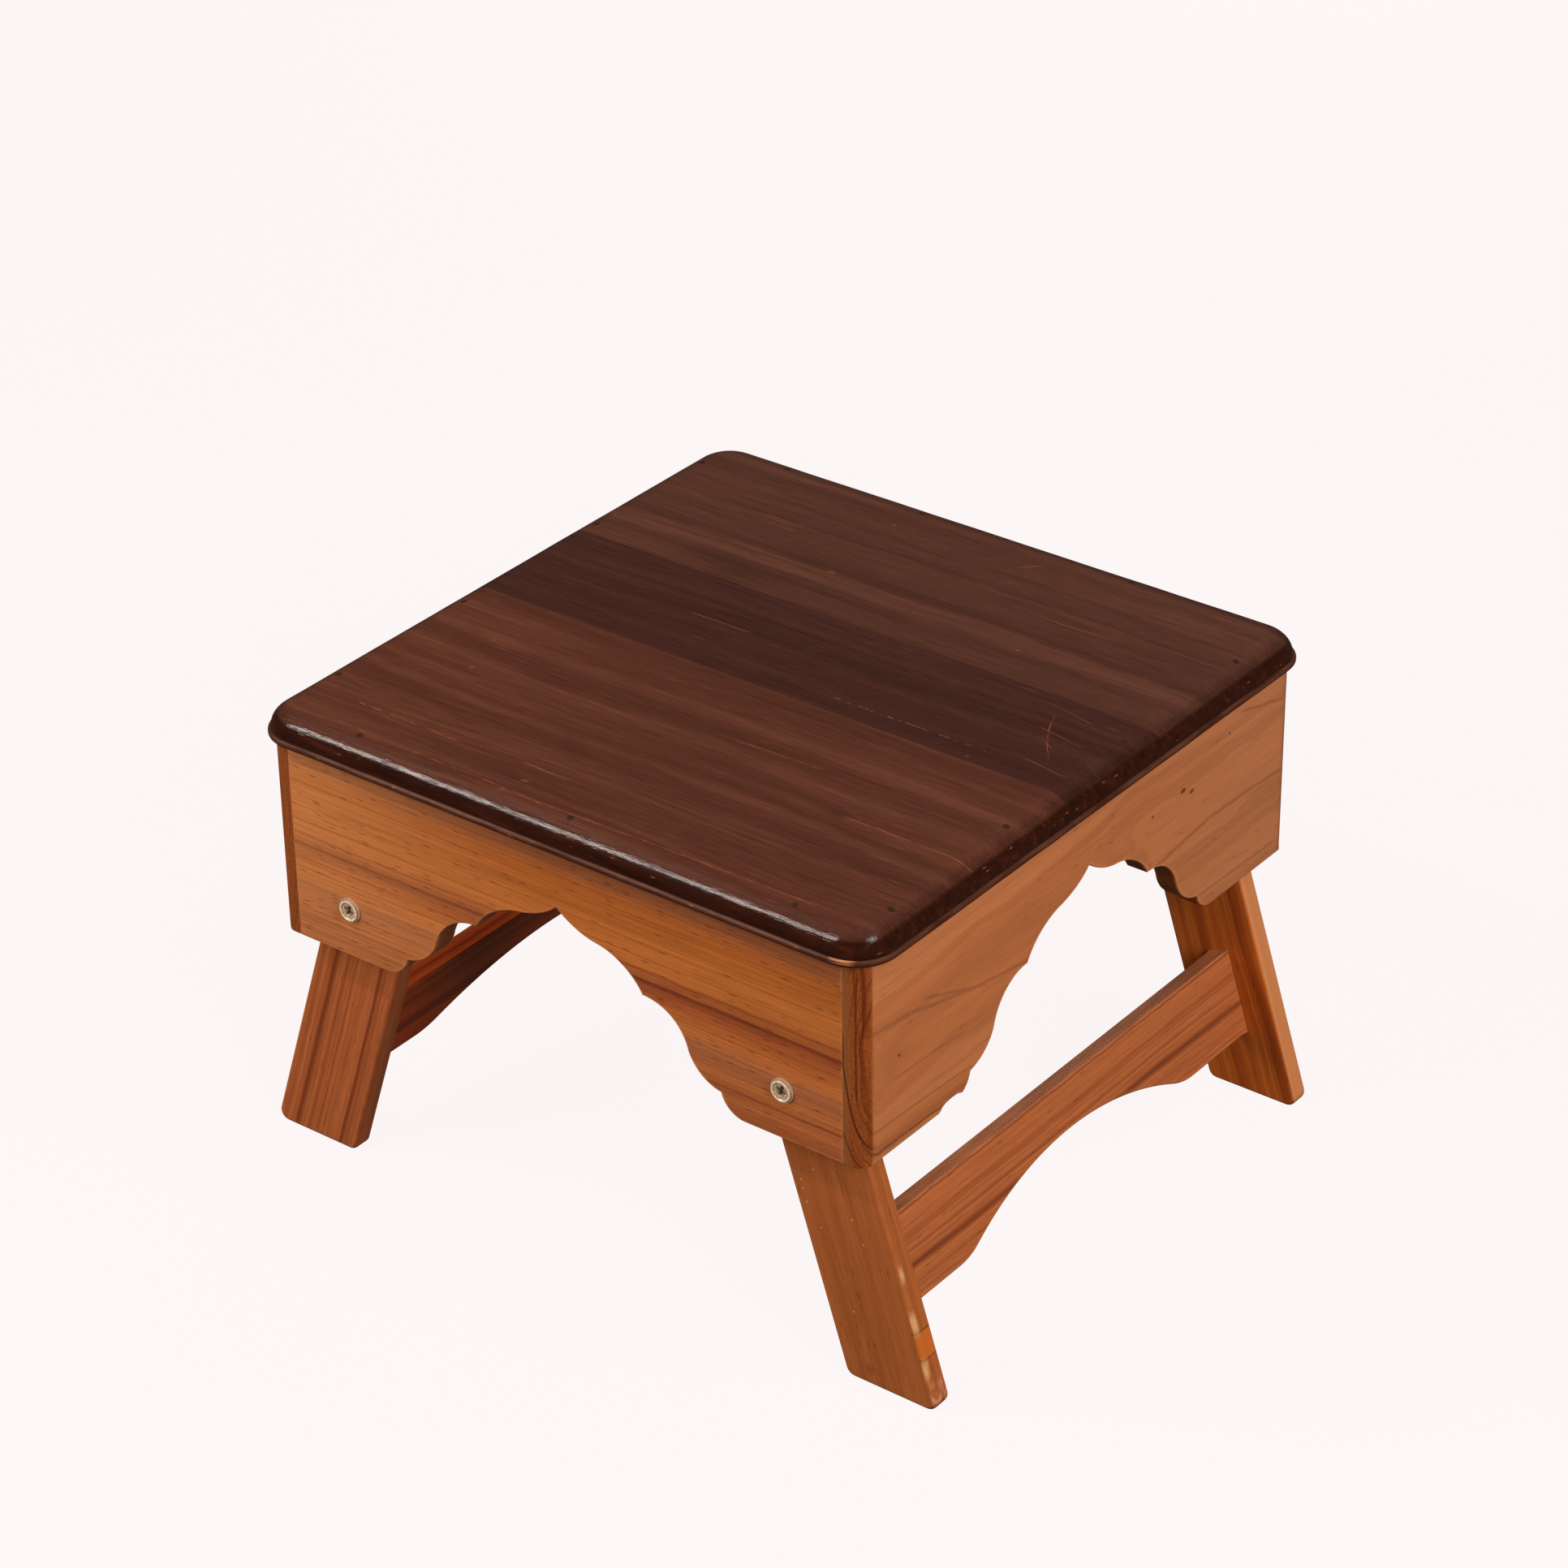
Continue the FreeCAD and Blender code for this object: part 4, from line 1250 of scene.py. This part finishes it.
def build_screws():
    """The four pivot screws: a dished head with a raised rim, and a plain shank."""
    seat = box_mm("head_washers")[0].y
    end = box_mm("lock_nuts")[0].y + NUT_AND_TIP
    face = box_mm("pivot_screws")[0].y + HEAD_LOWER
    rows = screw_rows(face, seat, end)
    bm = bmesh.new()
    for x in (-PIVOT.x, PIVOT.x):
        for side in (-1, 1):
            screw(bm, x, side, rows, face)
    mesh = finish_mesh(bm, "pivot_screws_turned", 30)
    piece(mesh, Matrix.Identity(4), screw_material(), "box", "pivot_screws")


# ---- hardware ------------------------------------------------------------

def dress_hardware():
    nickel = metal_material("nickel", (226, 196, 166), 0.32, 0.55, 2.0)
    steel = metal_material("dulled_steel", (150, 140, 130), 0.4, 0.6, 5.0)
    dark = pin_material()
    for node, material in (("head_washers", nickel),
                           ("spacer_washers", steel), ("inner_washers", steel),
                           ("lock_nuts", steel), ("corner_pins", dark)):
        slots = frame["nodes"][node].data.materials
        slots.clear()
        slots.append(material)


# ---- studio --------------------------------------------------------------

PALE = srgb(252, 246, 246)
WARM = (1.0, 0.74, 0.52, 1.0)


def area_light(name, direction, distance, size, watts, colour, target=(0, 0, 0.12)):
    """A rectangular light aimed at a point, its long side as near to X as can be."""
    data = bpy.data.lights.new(name, "AREA")
    data.shape = "RECTANGLE"
    data.size, data.size_y = size
    data.energy = watts
    data.color = colour
    light = bpy.data.objects.new(name, data)
    bpy.context.scene.collection.objects.link(light)
    out = Vector(direction).normalized()
    light.location = Vector(target) + out * distance
    light.rotation_mode = "QUATERNION"
    wide = (X - out * out.x).normalized()
    light.rotation_quaternion = Matrix((wide, out.cross(wide), out)).transposed().to_quaternion()
    light.visible_camera = False
    return light


def build_lights():
    """Soft lights for the sides, and small ones that draw the moulding's edge."""
    for name, direction, watts in (("left_softbox", (-0.55, -0.8, 0.4), 26),
                                   ("right_softbox", (0.9, -0.25, 0.5), 34),
                                   ("back_softbox", (-0.45, 0.9, 0.12), 12)):
        light = area_light(name, direction, 1.7, (1.0, 1.0), watts, (1.0, 0.95, 0.88))
        light.visible_glossy = False
    area_light("shoulder_light", (-0.53, -0.425, 0.734), 1.5, (0.8, 0.04), 7.5,
               (1.0, 0.93, 0.88), target=(0.03, -0.15, 0.21))
    area_light("corner_light", (0.48, 0.14, 0.86), 1.5, (0.4, 0.2), 3.5,
               (1.0, 0.95, 0.93), target=(0.15, -0.15, 0.21))


def mixed_surface(owner, output, first, second):
    """Give a world or a material a mix of two shaders, each a kind and a colour."""
    owner.use_nodes = True
    nodes, links = owner.node_tree.nodes, owner.node_tree.links
    nodes.clear()
    mix = nodes.new("ShaderNodeMixShader")
    links.new(mix.outputs[0], nodes.new(output).inputs["Surface"])
    made = []
    for socket, (kind, colour) in zip(mix.inputs[1:], (first, second)):
        shader = nodes.new(kind)
        shader.inputs["Color"].default_value = colour
        links.new(shader.outputs[0], socket)
        made.append(shader)
    return mix, *made


def build_world():
    """Pale paper where the camera sees past the object, and a dim warm fill elsewhere."""
    world = bpy.data.worlds.new("studio")
    bpy.context.scene.world = world
    mix, fill, _ = mixed_surface(world, "ShaderNodeOutputWorld", ("ShaderNodeBackground", WARM),
                                 ("ShaderNodeBackground", PALE))
    fill.inputs["Strength"].default_value = 0.08
    path = world.node_tree.nodes.new("ShaderNodeLightPath")
    world.node_tree.links.new(path.outputs["Is Camera Ray"], mix.inputs[0])


def build_floor():
    """Paper that glows evenly and takes only a faint shadow."""
    half = 6.0
    mesh = bpy.data.meshes.new("floor")
    corners = [(-half, -half, 0), (half, -half, 0), (half, half, 0), (-half, half, 0)]
    mesh.from_pydata(corners, [], [(0, 1, 2, 3)])
    material = bpy.data.materials.new("floor_paper")
    mix, _, _ = mixed_surface(material, "ShaderNodeOutputMaterial", ("ShaderNodeEmission", PALE),
                              ("ShaderNodeBsdfDiffuse", PALE))
    shadow_share = 0.03
    mix.inputs[0].default_value = shadow_share
    floor = new_object("floor", mesh, Matrix.Identity(4), material)
    floor.visible_diffuse = False
    floor.visible_glossy = False


def build_camera():
    """The camera of the photo, from a fit to its outlines; lengths in metres."""
    azimuth = math.radians(37.76)
    elevation = math.radians(30.236)
    roll = math.radians(-0.812)
    target = Vector((0.00105, -0.0046, 0.16438))
    distance = 1.95
    back = Vector((math.sin(azimuth) * math.cos(elevation),
                   -math.cos(azimuth) * math.cos(elevation), math.sin(elevation)))
    data = bpy.data.cameras.new("camera")
    data.lens = 108.46
    data.sensor_width = 36.0
    data.clip_start = 0.05
    camera = bpy.data.objects.new("camera", data)
    bpy.context.scene.collection.objects.link(camera)
    camera.location = target + back * distance
    camera.rotation_mode = "QUATERNION"
    upright = (-back).to_track_quat("-Z", "Y").to_matrix()
    camera.rotation_quaternion = (upright @ Matrix.Rotation(roll, 3, "Z")).to_quaternion()
    bpy.context.scene.camera = camera


bpy.context.scene.view_settings.view_transform = "Standard"
build_camera()
build_aprons()
build_legs()
build_stretchers()
build_top()
build_pins()
build_screws()
dress_hardware()
build_lights()
build_world()
build_floor()
